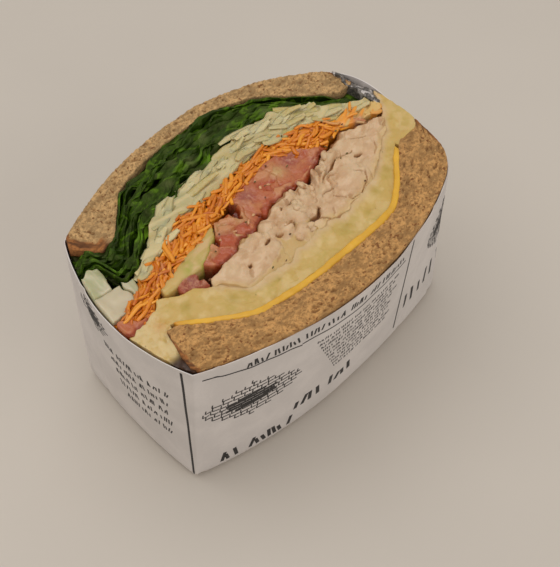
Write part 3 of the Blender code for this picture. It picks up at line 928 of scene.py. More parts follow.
class Scatter(Nodes):
    """A Geometry Nodes tree that grows pieces on a bed."""

    def __init__(self, name):
        self.tree = bpy.data.node_groups.new(name, "GeometryNodeTree")
        for way in ("INPUT", "OUTPUT"):
            self.tree.interface.new_socket("Geometry", in_out=way, socket_type="NodeSocketGeometry")
        self.entry = self.tree.nodes.new("NodeGroupInput")
        self.exit = self.tree.nodes.new("NodeGroupOutput")
        self.values = {}

    def input(self, name, kind, value):
        """A named input of the tree and its socket."""
        item = self.tree.interface.new_socket(name, in_out="INPUT", socket_type="NodeSocket" + kind)
        self.values[item.identifier] = value
        return self.entry.outputs[name]

    def vectors(self, operation, first, **sockets):
        """One step of arithmetic on vectors."""
        return self.add("ShaderNodeVectorMath", 0, {"operation": operation}, in_0=first, **sockets)

    def random(self, low, high, seed):
        """A random number for each element."""
        return self.add("FunctionNodeRandomValue", 1, {"data_type": "FLOAT"}, in_2=low, in_3=high, Seed=seed)

    def attribute(self, name):
        """A named number of the bed's points."""
        return self.add("GeometryNodeInputNamedAttribute", 0, {"data_type": "FLOAT"}, Name=name)

    def keep(self, geometry, name, value, domain):
        """Store a number under a name."""
        return self.add("GeometryNodeStoreNamedAttribute", 0, {"data_type": "FLOAT", "domain": domain},
                        Geometry=geometry, Name=name, Value=value)

    def points(self, density, seed):
        """Scattered points on the bed, denser where its density attribute is higher."""
        return self.add("GeometryNodeDistributePointsOnFaces", 0, {"distribute_method": "RANDOM"},
                        Mesh=self.entry.outputs["Geometry"], Density=density, Seed=seed)

    def grow(self, bed, name, surface):
        """Run the tree on the bed and put a plain object in the bed's place."""
        material = self.input("Finish", "Material", surface)
        smooth = self.add("GeometryNodeSetShadeSmooth", Geometry=self.result)
        painted = self.add("GeometryNodeSetMaterial", Geometry=smooth, Material=material)
        self.feed(self.exit.inputs["Geometry"], painted)
        modifier = bed.modifiers.new("grow", "NODES")
        modifier.node_group = self.tree
        for identifier, value in self.values.items():
            modifier[identifier] = value
        bpy.context.view_layer.update()
        graph = bpy.context.evaluated_depsgraph_get()
        mesh = bpy.data.meshes.new_from_object(bed.evaluated_get(graph), depsgraph=graph)
        mesh.name = name
        bed.modifiers.remove(modifier)
        bpy.data.objects.remove(bed)
        turn_outwards(mesh)
        return show(name, mesh)


SHRED_SIZES = (0.4, 1.0)
SHRED_GIRTHS = (0.65, 1.2)
SHRED_TILT = 0.22
BEND_SCALE = 130.0


def grow_shreds(bed, name, surface, kind):
    """Bent shreds that lie over a bed along its bearing."""
    tree = Scatter(name + "_tree")
    seed = kind.seed
    count = tree.input("Density", "Float", kind.density)
    wide = tree.input("Width", "Float", kind.width)
    thin = tree.input("Thickness", "Float", kind.thickness)
    reach = tree.input("Longest", "Float", kind.longest)
    turn = tree.input("Spread", "Float", kind.spread)
    points = tree.points(tree.times(count, tree.attribute("crowd")), seed)
    size = tree.times(tree.random(*SHRED_SIZES, seed + 1), reach)
    size = tree.maths("MINIMUM", size, tree.attribute("room"))
    bearing = tree.times(tree.random(-1.0, 1.0, seed + 2), turn)
    bearing = tree.maths("ADD", bearing, tree.attribute("bearing"))
    tilt = tree.random(-SHRED_TILT, SHRED_TILT, seed + 3)
    euler = tree.add("ShaderNodeCombineXYZ", X=tree.random(-kind.roll, kind.roll, seed + 4), Y=tilt,
                     Z=bearing)
    rotation = tree.add("FunctionNodeEulerToRotation", Euler=euler)
    line = tree.add("GeometryNodeCurvePrimitiveLine", Start=(-0.5, 0, 0), End=(0.5, 0, 0))
    line = tree.add("GeometryNodeResampleCurve", Curve=line, Count=6)
    scale = tree.add("ShaderNodeCombineXYZ", X=size, Y=1.0, Z=1.0)
    laid = tree.add("GeometryNodeInstanceOnPoints", Points=points, Instance=line, Rotation=rotation,
                    Scale=scale)
    laid = tree.keep(laid, "tone", tree.random(0.0, 1.0, seed + 5), "INSTANCE")
    laid = tree.keep(laid, "girth", tree.random(*SHRED_GIRTHS, seed + 6), "INSTANCE")
    laid = tree.keep(laid, "lift", tree.random(-1.0, 1.0, seed + 7), "INSTANCE")
    loose = tree.add("GeometryNodeRealizeInstances", Geometry=laid)
    wander = tree.add("ShaderNodeTexNoise", 1, {"noise_dimensions": "4D"}, Scale=BEND_SCALE, Detail=1.0,
                      W=tree.times(tree.attribute("tone"), 60.0))
    centred = tree.vectors("SUBTRACT", wander, in_1=(0.5, 0.5, 0.5))
    bend = tree.vectors("MULTIPLY", centred, in_1=(kind.bend, kind.bend, 0.4 * kind.bend))
    raised = tree.add("ShaderNodeCombineXYZ", Z=tree.times(tree.attribute("lift"), kind.lift))
    offset = tree.vectors("ADD", bend, in_1=raised)
    loose = tree.add("GeometryNodeSetPosition", Geometry=loose, Offset=offset)
    along = tree.maths("ABSOLUTE", tree.maths("SUBTRACT", tree.add("GeometryNodeSplineParameter"), 0.5))
    narrower = tree.times(tree.maths("POWER", along, 3.0), 8 * (1 - kind.blunt))
    slim = tree.maths("SUBTRACT", 1.0, narrower)
    girth = tree.times(slim, tree.attribute("girth"))
    ring = tree.add("GeometryNodeCurvePrimitiveCircle", Resolution=6, Radius=0.5)
    section = tree.add("GeometryNodeTransform", Geometry=ring,
                       Scale=tree.add("ShaderNodeCombineXYZ", X=wide, Y=thin, Z=1.0))
    tree.result = tree.add("GeometryNodeCurveToMesh", Curve=loose, Profile_Curve=section, Scale=girth,
                           Fill_Caps=True)
    return tree.grow(bed, name, surface)


def grow_nubs(bed, name, surface, density, size, seed, subdivisions=3, unevenness=0.45 * MM, pitch=1.6 * MM):
    """Torn or rounded bits that stand on a bed, no two alike."""
    tree = Scatter(name + "_tree")
    count = tree.input("Density", "Float", density)
    big = tree.input("Size", "Float", size)
    points = tree.points(tree.times(count, tree.attribute("crowd")), seed)
    ball = tree.add("GeometryNodeMeshIcoSphere", Radius=1.0, Subdivisions=subdivisions)
    long_way = tree.times(tree.random(0.7, 1.5, seed + 1), big)
    wide_way = tree.times(tree.random(0.5, 0.85, seed + 2), big)
    high_way = tree.times(tree.random(0.4, 0.7, seed + 3), big)
    scale = tree.add("ShaderNodeCombineXYZ", X=long_way, Y=wide_way, Z=high_way)
    bearing = tree.maths("ADD", tree.random(-0.7, 0.7, seed + 4), tree.attribute("bearing"))
    euler = tree.add("ShaderNodeCombineXYZ", X=tree.random(-0.5, 0.5, seed + 5),
                     Y=tree.random(-0.35, 0.35, seed + 6), Z=bearing)
    rotation = tree.add("FunctionNodeEulerToRotation", Euler=euler)
    laid = tree.add("GeometryNodeInstanceOnPoints", Points=points, Instance=ball, Rotation=rotation,
                    Scale=scale)
    laid = tree.keep(laid, "tone", tree.random(0.0, 1.0, seed + 7), "INSTANCE")
    loose = tree.add("GeometryNodeRealizeInstances", Geometry=laid)
    wander = tree.add("ShaderNodeTexNoise", 0, {"noise_dimensions": "4D"}, Scale=1 / pitch, Detail=2.0,
                      W=tree.times(tree.attribute("tone"), 40.0))
    swell = tree.times(tree.maths("SUBTRACT", wander, 0.5), 4 * unevenness)
    normal = tree.add("GeometryNodeInputNormal")
    offset = tree.vectors("SCALE", normal, Scale=swell)
    loose = tree.add("GeometryNodeSetPosition", Geometry=loose, Offset=offset)
    # Painted shade in each bit's dents, where the noise sinks its surface.
    shaded = tree.add("ShaderNodeMapRange", 0, in_0=wander, in_1=0.5, in_2=0.3, in_3=0.0, in_4=0.7)
    tree.result = tree.keep(loose, "cavity_shade", shaded, "POINT")
    return tree.grow(bed, name, surface)


# ---- food pieces


def crumb_top(spot, sizes, salt):
    """The crumb's holes and grain: its height, and how deep each point lies in a hole, for painted shade
    there.
    """
    wander = 0.4 * MM * waves(spot.along / (1.1 * MM), spot.across / (1.1 * MM), salt + 40)
    near, _, own = cells((spot.along + 2 * wander) / (1.9 * sizes.pore),
                         (spot.across - wander) / (1.1 * sizes.pore), salt)
    large = ease(0.1 + 0.3 * own - near, 0, 0.35) * (own > 0.55)
    near, _, own = cells((spot.along - wander) / (1.2 * MM), (spot.across + wander) / (0.8 * MM), salt + 1)
    small = ease(0.02 + 0.46 * own - near, 0, 0.3) * (own > 0.35)
    grain = rough(spot.along, spot.across, 0.8 * MM, 2, salt + 2)
    swell = uneven_face(spot, 14 * MM, salt + 3)
    inner = ease(spot.edge, 0.2 * MM, 1.2 * MM)
    height = 0.35 * MM * swell + 0.26 * MM * grain - inner * (sizes.pore_depth * large + 0.22 * MM * small)
    return height, inner * np.clip(large + 0.6 * small, 0, 1)


def build_bread(sizes, colours):
    """The two slices."""
    seams = shared_seams()
    surface = bread_finish(colours)
    slices = (
        ("front_bread_slice", "bread_front", outside(0.0), seams.front_crumb, FRONT_LOOK_START, None,
         (0.9 * MM, 1.2 * MM), FRONT_SLANT, 11),
        ("back_bread_slice", "bread_back", seams.back_crumb, outside(1.0), None, BACK_SLICE_END,
         (1.6 * MM, 0.8 * MM), 0.0, 23),
    )
    for name, node, front, back, start, end, crusts, slant, salt in slices:
        layer = Layer(front, back, start, end, 0.3 * MM, rounded=1.6 * MM, blunt=0.86, slant=slant)
        spot = layer.spot
        height, pore = crumb_top(spot, sizes, salt)
        uneven = 0.5 * MM * rough(spot.along, spot.across, 2 * MM, 2, salt + 5)
        crust = np.maximum(ease(-layer.left - uneven, -crusts[0], -0.6 * crusts[0]),
                           ease(-layer.right - uneven, -crusts[1], -0.5 * crusts[1]))
        if node == "bread_back":
            band = ease(-layer.t * spot.width + 0.6 * uneven, -4.2 * MM, -3.0 * MM)
            crust = np.maximum(crust, band * ease(-spot.x, 38 * MM, 40.5 * MM))
        height = lerp(height, 0.25 * MM * rough(spot.x, 3 * spot.y, 2 * MM, 2, salt + 6), crust)
        dark = patches(spot.x, spot.y, DARK_PATCHES)
        warm = np.full(spot.x.shape, float(node == "bread_front"))
        bake = rough(spot.along / 5, layer.t * spot.width, 0.9 * MM, 2, salt + 7)
        attributes = {"pore": pore * (1 - crust), "crust": crust, "bake": bake, "dark": dark, "warm": warm}
        seat(layer.build(name, height, surface, attributes), "wholemeal_bread", node)


def build_cheese(colours):
    """The thin slice along the front slice, standing a little proud."""
    seams = shared_seams()
    layer = Layer(seams.front_crumb, seams.cheese_back, *CHEESE_ENDS, 0.36 * MM, rounded=1.5 * MM, blunt=0.7)
    height = 0.35 * MM + 0.2 * MM * rough(layer.spot.along, 0 * layer.u, 9 * MM, 2, 61)
    height = height + 0.1 * MM * uneven_face(layer.spot, 1.5 * MM, 62)
    smear = patches(layer.spot.x, layer.spot.y, ((-46.5, -11.5, 2.0),))
    surface = cheese_finish(colours)
    piece = layer.build("cheese_sheet", height, surface, {"smear": smear}, edge_round=0.45 * MM)
    seat(piece, "cheese", "cheese_slice")


def egg_front(seams):
    """The egg filling's front seam: round the front slice's slanting left end and behind the cheese."""
    slice_start = piece_end_u(FRONT_LOOK_START, outside(0.0), seams.front_crumb)
    slant = FRONT_SLANT / LENGTH
    cheese_from = piece_end_u(CHEESE_ENDS[0], seams.front_crumb, seams.cheese_back) - END_CLEARANCE_U
    cheese_to = piece_end_u(CHEESE_ENDS[1], seams.front_crumb, seams.cheese_back) + END_CLEARANCE_U

    def front(u):
        line = np.where((u > cheese_from) & (u < cheese_to), seams.cheese_back(u), seams.front_crumb(u))
        return line * np.clip((u - slice_start + slant) / (2 * slant), 0, 1)

    return front


def build_egg(sizes, colours):
    """The egg filling: soft lumps, olive patches, and a sunk place by the front slice's end, painted dark as
    shade.
    """
    seams = shared_seams()
    layer = Layer(egg_front(seams), seams.egg_back, None, None, 0.4 * MM)
    spot = layer.spot
    wander = 1.4 * MM * waves(spot.x / (4 * MM), spot.y / (4 * MM), 81)
    near, _, own = cells((spot.x + wander) / sizes.egg_lump, (spot.y - wander) / sizes.egg_lump, 82)
    height = 0.6 * MM * uneven_face(spot, 9 * MM, 84)
    height = height + 0.6 * MM * (0.5 - near * near) * ease(own, 0.2, 0.5)
    height = height + 0.16 * MM * uneven_face(spot, 1.8 * MM, 85)
    # A sunk place at the corner by the front slice's end, painted dark as shade.
    shaded_hollow = ease(-spot.y, 18.5 * MM, 21.0 * MM) * ease(-spot.x, 50 * MM, 52 * MM)
    creamy = ease(-spot.x, 44 * MM, 50 * MM)
    height = height + creamy * 0.4 * MM * uneven_face(spot, 2.2 * MM, 87)
    olive = patches(spot.x, spot.y, OLIVE_PATCHES)
    meet = ease((layer.t - 1) * spot.width, -3.5 * MM, -0.5 * MM) * ease(spot.x, -34 * MM, -28 * MM)
    orange = patches(spot.x, spot.y, ((-49.5, -9.5, 2.2),))
    attributes = {
        "lump": own, "creamy": creamy, "shaded_hollow": shaded_hollow, "olive": olive, "meet": meet, "smear": orange,
    }
    height = height - 1.2 * MM * shaded_hollow
    piece = layer.build("egg_filling", height, egg_finish(colours), attributes, edge_round=0.15 * MM)
    seat(piece, "egg_filling", "egg_salad")


Lump = namedtuple("Lump", "x y long short turn tall")
# A chunk's seams, its ends in millimetres, the turn of its fibres, the height of its low places,
# how crowded its flakes are and whether its back edge falls into shade.
Chunk = namedtuple("Chunk", "front back start end turn floor crowd open_back")

# Patches of colour: x, y and radius in millimetres.
DARK_PATCHES = ((50.8, -15.2, 1.8), (46.5, -18.0, 1.4), (30, -30, 1.2), (5, -34, 1.5))
OLIVE_PATCHES = (
    (11.5, -23.8, 2.4), (27.2, -21.5, 1.8), (19.5, -25.5, 1.1), (-8, -16.5, 2.2), (-15.2, -22.5, 0.9),
    (-24, -18, 2.0), (-29, -17.5, 1.8), (36, -18, 1.5), (-40, -10, 1.6),
)
MOTTLED_PATCHES = ((-0.5, 5, 3.0), (18.8, 5.4, 3.0), (24, -1.6, 2.0), (-33, -6, 5))
PALE_PATCHES = ((-14.0, 2.6, 2.6), (-7.6, 0.6, 2.4), (-11.6, -3.2, 2.0), (12.8, 4.4, 2.8), (-22, -2, 2))
GLASSY_PATCHES = ((-14, 18.2, 3.0), (-19.5, 18.6, 3.0), (-24, 16.5, 2.0), (0, 21, 1.5), (22, 20.5, 1.5))

# Lumps of torn breast: x, y, half length, half width, turn in degrees and height, in millimetres.
LUMPS = tuple(Lump(*values) for values in (
    (-26.0, -12.4, 4.4, 3.6, 25, 0.8), (-20.6, -13.8, 5.0, 3.6, 12, 1.0), (-15.0, -14.0, 4.8, 3.6, 20, 1.1),
    (-10.2, -12.6, 4.0, 3.4, 35, 1.1), (-23.0, -9.6, 3.8, 2.0, 15, 1.3), (-17.6, -9.6, 3.6, 2.6, 8, 1.4),
    (-13.0, -8.8, 3.0, 2.3, 30, 1.5), (-9.6, -8.2, 2.2, 1.9, 40, 1.6), (-4.5, -8.5, 3.0, 2.5, 43, 1.6),
    (-1.2, -12.0, 3.1, 2.7, 43, 1.7), (2.5, -16.5, 3.0, 2.4, 43, 1.6), (5.0, -9.8, 4.6, 3.2, -47, 2.0),
    (7.8, -3.9, 3.0, 2.7, 43, 1.8), (10.4, -8.6, 2.8, 2.6, 43, 1.5), (13.8, -4.8, 2.9, 2.2, 43, 1.6),
    (12.5, -12.2, 2.7, 2.3, 0, 1.3), (16.4, -10.4, 3.3, 2.6, 43, 1.6), (1.5, -5.4, 2.2, 1.8, 0, 1.2),
    (18.4, -5.9, 3.9, 1.05, 66, 1.9), (20.9, -5.9, 4.5, 1.05, 47, 2.2), (20.9, -8.7, 3.4, 0.95, 37, 2.0),
    (21.9, -10.1, 3.2, 0.85, 32, 1.8), (27.5, -2.9, 4.6, 2.0, 23, 1.7), (36.0, -5.2, 6.4, 3.9, -28, 1.2),
    (26.5, -12.8, 6.4, 4.8, -12, 1.2), (14, -18, 5.2, 3.9, 8, 1.0), (39.5, -9.8, 5, 4, -45, 0.9),
    (34.5, -14.5, 4.2, 3.2, 20, 0.7), (19.5, -20, 4.6, 2.6, 20, 0.6), (45, -5.5, 2.6, 2.2, 0, 1.1),
    (43, -8.2, 2.8, 1.9, 30, 1.1), (46.8, -4.2, 2.2, 1.8, 0, 1.3), (49.6, -4, 1.9, 1.5, 0, 1.1),
    (41, -2.6, 2.6, 1.9, 20, 1.2), (31.4, -7.8, 3.2, 2.2, -30, 1.3), (38.4, -1.2, 2.2, 1.6, 10, 1.2),
))

# Cracks in the breast: half width, depth and the points of the path, in millimetres.
CRACKS = (
    (0.8, 2.4, ((3.2, -18.0), (6.5, -15.5), (9.0, -15.0), (11.2, -13.8))),
    (0.9, 2.6, ((15.2, -7.0), (15.4, -4.8), (18.0, -3.8))),
    (0.4, 1.4, ((22.6, -6.9), (25.0, -6.2), (27.8, -5.2))),
    (0.3, 0.9, ((28.2, -5.0), (31.2, -5.9), (33.8, -6.5))),
    (0.45, 1.5, ((32.6, -8.8), (33.8, -9.0), (35.0, -9.2))),
    (0.28, 0.8, ((26.8, -11.8), (28.8, -13.2), (30.8, -15.0), (28.2, -17.0), (23.5, -18.8), (20.5, -19.0))),
    (0.3, 0.6, ((36.5, -2.8), (39.0, -4.8), (41.8, -5.6))),
    (0.3, 0.5, ((37.0, -12.2), (39.6, -11.2), (41.6, -9.0))),
    (0.33, 0.8, ((17.6, -13.6), (19.2, -15.5), (20.2, -17.2))),
    (0.5, 1.0, ((11.8, -20.4), (14.8, -20.8))),
    (0.45, 1.2, ((5.2, -6.4), (6.6, -6.9), (8.2, -7.0))),
    (0.3, 1.0, ((2.4, -6.6), (4.2, -5.2))),
    (0.3, 1.0, ((2.4, -11.8), (1.2, -13.4))),
    (0.4, 1.1, ((-4.9, -11.2), (-3.5, -12.8))),
    (0.25, 0.8, ((14.8, -11.8), (17.5, -11.9), (20.0, -11.8))),
    (0.3, 0.9, ((6.2, -15.8), (8.8, -16.2), (10.5, -19.2))),
    (0.6, 1.8, ((-18.2, -14.4), (-17.2, -14.0))),
    (0.6, 1.6, ((-10.0, -12.3), (-8.6, -11.8), (-7.4, -11.2))),
)
# Deep holes by the tomato, in the same form.
HOLES = (
    (1.5, 2.4, ((-5.6, 5.6), (-6.4, 3.4), (-7.2, 1.0))),
    (1.1, 2.0, ((-18.0, 1.2), (-18.4, -1.8))),
    (1.7, 3.0, ((-29.8, -6.0), (-27.0, -6.8), (-24.0, -7.4))),
    (0.6, 1.4, ((-3.0, -2.0), (-0.5, -4.6))),
)


def build_chicken(colours):
    """Five torn chunks: smooth lumps and slabs, cracks between them and a few loose flakes."""
    seams = shared_seams()
    surface = chicken_finish(colours)
    egg_back, middle, back = seams.egg_back, seams.chicken_middle, seams.chicken_back
    chunks = (
        Chunk(egg_back, back, -28.5, -7, 0.5, -0.2 * MM, 0.0, True),
        Chunk(egg_back, middle, -6.5, 5.5, 0.3, -0.3 * MM, 0.22, False),
        Chunk(middle, back, -6.5, 29.5, 0.9, -0.7 * MM, 0.25, True),
        Chunk(egg_back, middle, 6, 30, 0.7, 0.1 * MM, 0.0, False),
        Chunk(egg_back, back, 30.5, 51.5, 0.6, 0.1 * MM, 0.0, True),
    )
    beds = []
    for number, chunk in enumerate(chunks, 1):
        layer = Layer(chunk.front, chunk.back, chunk.start, chunk.end, 0.34 * MM, torn=1.6 * MM)
        spot = layer.spot
        wander = 0.7 * MM * uneven_face(spot, 3 * MM, 101)
        high, second = domes(spot.x + wander, spot.y - wander, LUMPS)
        valley = ease(0.35 * MM - (high - np.maximum(second, chunk.floor)), 0, 0.35 * MM)
        valley = valley * ease(high, chunk.floor - 0.4 * MM, chunk.floor + 0.3 * MM)
        along, across = turned(spot.x + wander, spot.y - wander, chunk.turn)
        fibres = rough(along / 7, across, 0.7 * MM, 2, 120)
        near, gap, own = cells(along / (3.2 * MM), across / (1.5 * MM), 121)
        torn = ease(waves(spot.x / (4 * MM), spot.y / (4 * MM), 122), -0.5, 0.4)
        flaky = (own - 0.5) * ease(gap - near, 0, 0.3) * torn
        inside, cut = grooves(spot.x + 0.5 * wander, spot.y - 0.5 * wander, CRACKS + HOLES)
        fine = (0.1 * fibres + 0.5 * flaky - 0.1 * valley) * MM
        height = higher(high, chunk.floor, 0.6 * MM) + fine - 0.7 * cut
        height = height + 0.4 * MM * uneven_face(spot, 4.5 * MM, 131)
        edge = ease((layer.t - 1) * spot.width, -1.3 * MM, -0.4 * MM) if chunk.open_back else 0 * spot.x
        height = height - 0.9 * MM * edge
        # Painted shade in the cracks and holes, in the valleys between lumps, along a back edge that falls
        # into shade, between flakes and a little in the low places.
        cavity_shade = np.maximum(np.maximum(inside, 0.3 * valley), 0.7 * edge)
        cavity_shade = np.maximum(cavity_shade, 0.35 * ease(-flaky, 0.12, 0.4))
        low = ease(chunk.floor - high, -0.2 * MM, 0.8 * MM) * (chunk.floor < 0) * (chunk.front is egg_back)
        meet = ease(-layer.t * spot.width, -3 * MM, -0.3 * MM) * (chunk.front is egg_back)
        attributes = {"cavity_shade": np.maximum(cavity_shade, 0.15 * low), "meet": np.maximum(meet, 1.6 * low)}
        piece = layer.build(f"breast_chunk_{number}", height, surface, attributes, edge_round=0.15 * MM)
        seat(piece, "chicken_meat", f"chicken_chunk_{number}")
        crowd = chunk.crowd * ease(spot.edge, 0.8 * MM, 1.8 * MM) * (1 - inside)
        bearing = np.full(layer.u.shape, chunk.turn)
        beds.append(layer.bed(f"chunk_bed_{number}", height - 0.3 * MM, {"crowd": crowd, "bearing": bearing}))
    bed = join("chunk_beds", beds)
    flakes = grow_nubs(bed, "breast_flakes", surface, density=1.3e5, size=1.5 * MM, seed=7,
                       unevenness=0.3 * MM, pitch=2 * MM)
    seat(flakes, "chicken_meat")


def build_tomato(colours):
    """Three overlapping slices, a small piece and one at the left end, with a few seeds."""
    seams = shared_seams()
    surface = tomato_finish(colours)

    def slice_back(u):
        return np.minimum(seams.strip_front(u), seams.carrot_front(u))

    pieces = (
        ("tomato_slice_1", seams.chicken_back, slice_back, -26, -5),
        ("tomato_slice_2", seams.chicken_back, seams.carrot_front, -4.7, 9.7),
        ("tomato_slice_3", seams.chicken_back, seams.carrot_front, 10, 29),
        ("tomato_piece_small", seams.egg_back, seams.strip_front, -37, -30.5),
        ("tomato_piece_end", seams.egg_back, seams.carrot_front, None, -50),
    )
    beds = []
    for number, (node, front, back, start, end) in enumerate(pieces):
        layer = Layer(front, back, start, end, 0.34 * MM, rounded=0.0 if number < 3 else 1.5 * MM, blunt=0.7,
                      torn=1.4 * MM if number < 3 else 0.0)
        spot = layer.spot
        wander = 0.8 * MM * uneven_face(spot, 2.6 * MM, 141)
        along, across = spot.along + wander, spot.across - wander
        near, second, own = cells(along / (5.4 * MM), across / (4.0 * MM), 144)
        plateau = ease(second - near, 0, 0.3)
        facet = lerp(0.45, own, plateau)
        inside, cut = grooves(spot.x + 0.5 * wander, spot.y - 0.5 * wander, HOLES)
        height = 0.35 * MM * uneven_face(spot, 4 * MM, 150) + (1.9 * facet - 0.6) * MM
        height = height + 0.1 * MM * uneven_face(spot, 1.1 * MM, 151) - cut
        # The front edge sinks and takes painted shade, as do the holes.
        edge = ease(-layer.t * spot.width, -1.5 * MM, -0.4 * MM)
        mottle = patches(spot.x, spot.y, MOTTLED_PATCHES)
        pale = patches(spot.x, spot.y, PALE_PATCHES)
        cavity_shade = np.maximum(inside, 0.6 * edge)
        attributes = {"cavity_shade": cavity_shade, "facet": facet, "mottle": mottle, "pale": pale}
        piece = layer.build("cut_" + node, height - 0.5 * MM * edge, surface, attributes, edge_round=0.5 * MM)
        seat(piece, "tomato_flesh", node)
        crowd = ease(spot.edge, 0.8 * MM, 1.6 * MM) * (1 - inside)
        beds.append(layer.bed("tomato_bed", height, {"crowd": crowd, "bearing": 0 * spot.x}))
    bed = join("tomato_beds", beds)
    seeds = grow_nubs(bed, "tomato_seeds", seed_finish(), density=1.2e4, size=0.7 * MM, seed=31,
                      subdivisions=2, unevenness=0.03 * MM)
    seat(seeds, "tomato_flesh")


def seed_finish():
    """Tomato seeds in their jelly."""
    made = flesh("tomato_seed", 0.2, 0.2, 1 * MM)
    pale = paint(214, 170, 120)
    made.colour = made.mix(made.between(made.noise(1.5 * MM, 2), 0.4, 0.7), pale, paint(190, 120, 84))
    return made.done()


def strip_back(seams):
    """The back edge of the slim pale strip, where the carrot takes over."""
    start, end = (piece_end_u(x, seams.strip_front, seams.carrot_front) for x in (-41, -15.5))

    def back(u):
        inside = ease(np.minimum(u - start, end - u) * LENGTH, -1 * MM, 4 * MM)
        return lerp(seams.carrot_front(u), lerp(seams.strip_front(u), seams.carrot_front(u), 0.82), inside)

    return back


def build_greens(colours):
    """The pale green strip and the three cuts of lettuce rib."""
    seams = shared_seams()
    layer = Layer(seams.strip_front, strip_back(seams), -41, -15.5, 0.4 * MM, rounded=9 * MM, blunt=0.5)
    spot = layer.spot
    crown = 0.5 * MM * np.sin(math.pi * layer.t)
    height = crown + 0.2 * MM * rough(spot.along, spot.across, 5 * MM, 2, 161)
    rind = 0.6 * ease(-layer.t * spot.width, -1.5 * MM, -0.5 * MM)
    rind = np.maximum(rind, patches(spot.x, spot.y, ((-30.4, -2.6, 3.6),)))
    attributes = {"rind": rind, "creamy": ease(-spot.x, 29 * MM, 35 * MM)}
    piece = layer.build("green_strip_cut", height, strip_finish(colours), attributes, edge_round=0.5 * MM)
    seat(piece, "pale_green_flesh", "green_strip")
    surface = rib_finish(colours)
    ribs = (
        (seams.rib_middle, seams.lettuce_front, None, -49.3),
        (seams.carrot_back, seams.rib_middle, None, -48.2),
        (seams.carrot_back, seams.lettuce_front, -46.8, -43.2),
    )
    for number, (front, back, start, end) in enumerate(ribs, 1):
        layer = Layer(front, back, start, end, 0.36 * MM, torn=0.8 * MM)
        spot = layer.spot
        height = 0.3 * MM + 0.5 * MM * uneven_face(spot, 4 * MM, 170 + number) - 0.3 * MM * number
        height = height + 0.25 * MM * np.sin(math.pi * layer.t)
        # Painted shade along the rib's edges.
        shaded = 0.35 * ease(-spot.edge, -0.4 * MM, 0)
        attributes = {"cavity_shade": shaded, "cream": np.full(spot.x.shape, float(number == 2))}
        piece = layer.build(f"rib_cut_{number}", height, surface, attributes, edge_round=0.5 * MM)
        seat(piece, "lettuce_rib", f"lettuce_rib_{number}")


# How a heap's shreds are strewn, sized, turned and bent, and how its core lies under them.
Shreds = namedtuple(
    "Shreds",
    "density width thickness longest spread blunt roll bend lift room sunk tiers shadow seed",
)
HEAP_RELIEF = 0.7 * MM
BEARING_COLUMNS = 16


def build_heap(slot, node, name, seams, start, end, surface, kind, looks):
    """A core at about the cut face, with shreds over it and partly in it."""
    layer = Layer(*seams, start, end, 0.5 * MM)
    spot = layer.spot
    extra = looks(spot.x, spot.y)
    relief = rough(spot.along / 4, spot.across, kind.width, 2, kind.seed)
    bare = extra["bare"]
    deep = HEAP_RELIEF * relief - lerp(kind.sunk, 0.0, bare)
    # Painted shade where the core lies low, and a tone that follows its relief: painted shade in the dips,
    # painted light on the rises.
    shaded = {**extra, "cavity_shade": kind.shadow * (1 - bare) * ease(-relief, -0.4, 0.5),
              "tone": np.clip(0.45 + 0.7 * relief, 0.2, 0.8)}
    seat(layer.build(name + "_core", deep, surface, shaded), slot, node)
    line = place(layer.u, layer.v, FACE_Z)
    reach = np.array((-BEARING_COLUMNS, BEARING_COLUMNS))
    spread = np.clip(np.arange(layer.columns)[:, None] + reach, 0, layer.columns - 1)
    step = line[spread[:, 1]] - line[spread[:, 0]]
    bearing = np.arctan2(step[..., 1], step[..., 0])
    inland = ease(spot.end, 1 * MM, 4 * MM)
    shreds = []
    for tier, height in enumerate(kind.tiers):
        attributes = {**extra, "bearing": bearing, "room": kind.room[0] + kind.room[1] * spot.edge,
                      "crowd": extra["crowd"] * inland}
        bed = layer.bed(f"{name}_bed_{tier}", np.full(layer.u.shape, height * MM), attributes)
        shreds.append(grow_shreds(bed, f"{name}_tier_{tier}", surface,
                                  kind._replace(seed=kind.seed + 10 * tier)))
    seat(join(name, shreds), slot)


def build_carrot(sizes, colours):
    """The shredded carrot, which thins out among egg at the narrow end."""
    seams = shared_seams()
    base = tuple(colours.carrot)
    light, dark = tint(base, 1.22, 1.55, 2.4), tint(base, 0.72, 0.5, 0.4)
    cream = tint(tuple(colours.egg), 1.2, 1.12, 1.15)
    surface = shred_finish("shredded_carrot", base, 0.3, light, dark, cream)

    def looks(x, y):
        creamy = ease(x, 36 * MM, 41 * MM)
        return {"crowd": lerp(1.0, 0.3, creamy), "creamy": creamy, "bare": creamy,
                "mauve": patches(x, y, ((44.5, -0.5, 2.2), (38.8, 2.0, 0.9), (-35, 3, 1.2)))}

    kind = Shreds(
        density=3.6e5, width=sizes.carrot_width, thickness=0.95 * MM, longest=0.75 * sizes.shred_length,
        spread=0.8, blunt=0.75, roll=0.8, bend=7 * MM, lift=0.6 * MM, room=(3 * MM, 3), sunk=1.3 * MM,
        tiers=(-1.3, -0.6, 0.1), shadow=1.0, seed=201,
    )
    sides = (strip_back(seams), seams.carrot_back)
    build_heap("carrot", "carrot_shreds", "carrot_pile", sides, None, 54, surface, kind, looks)


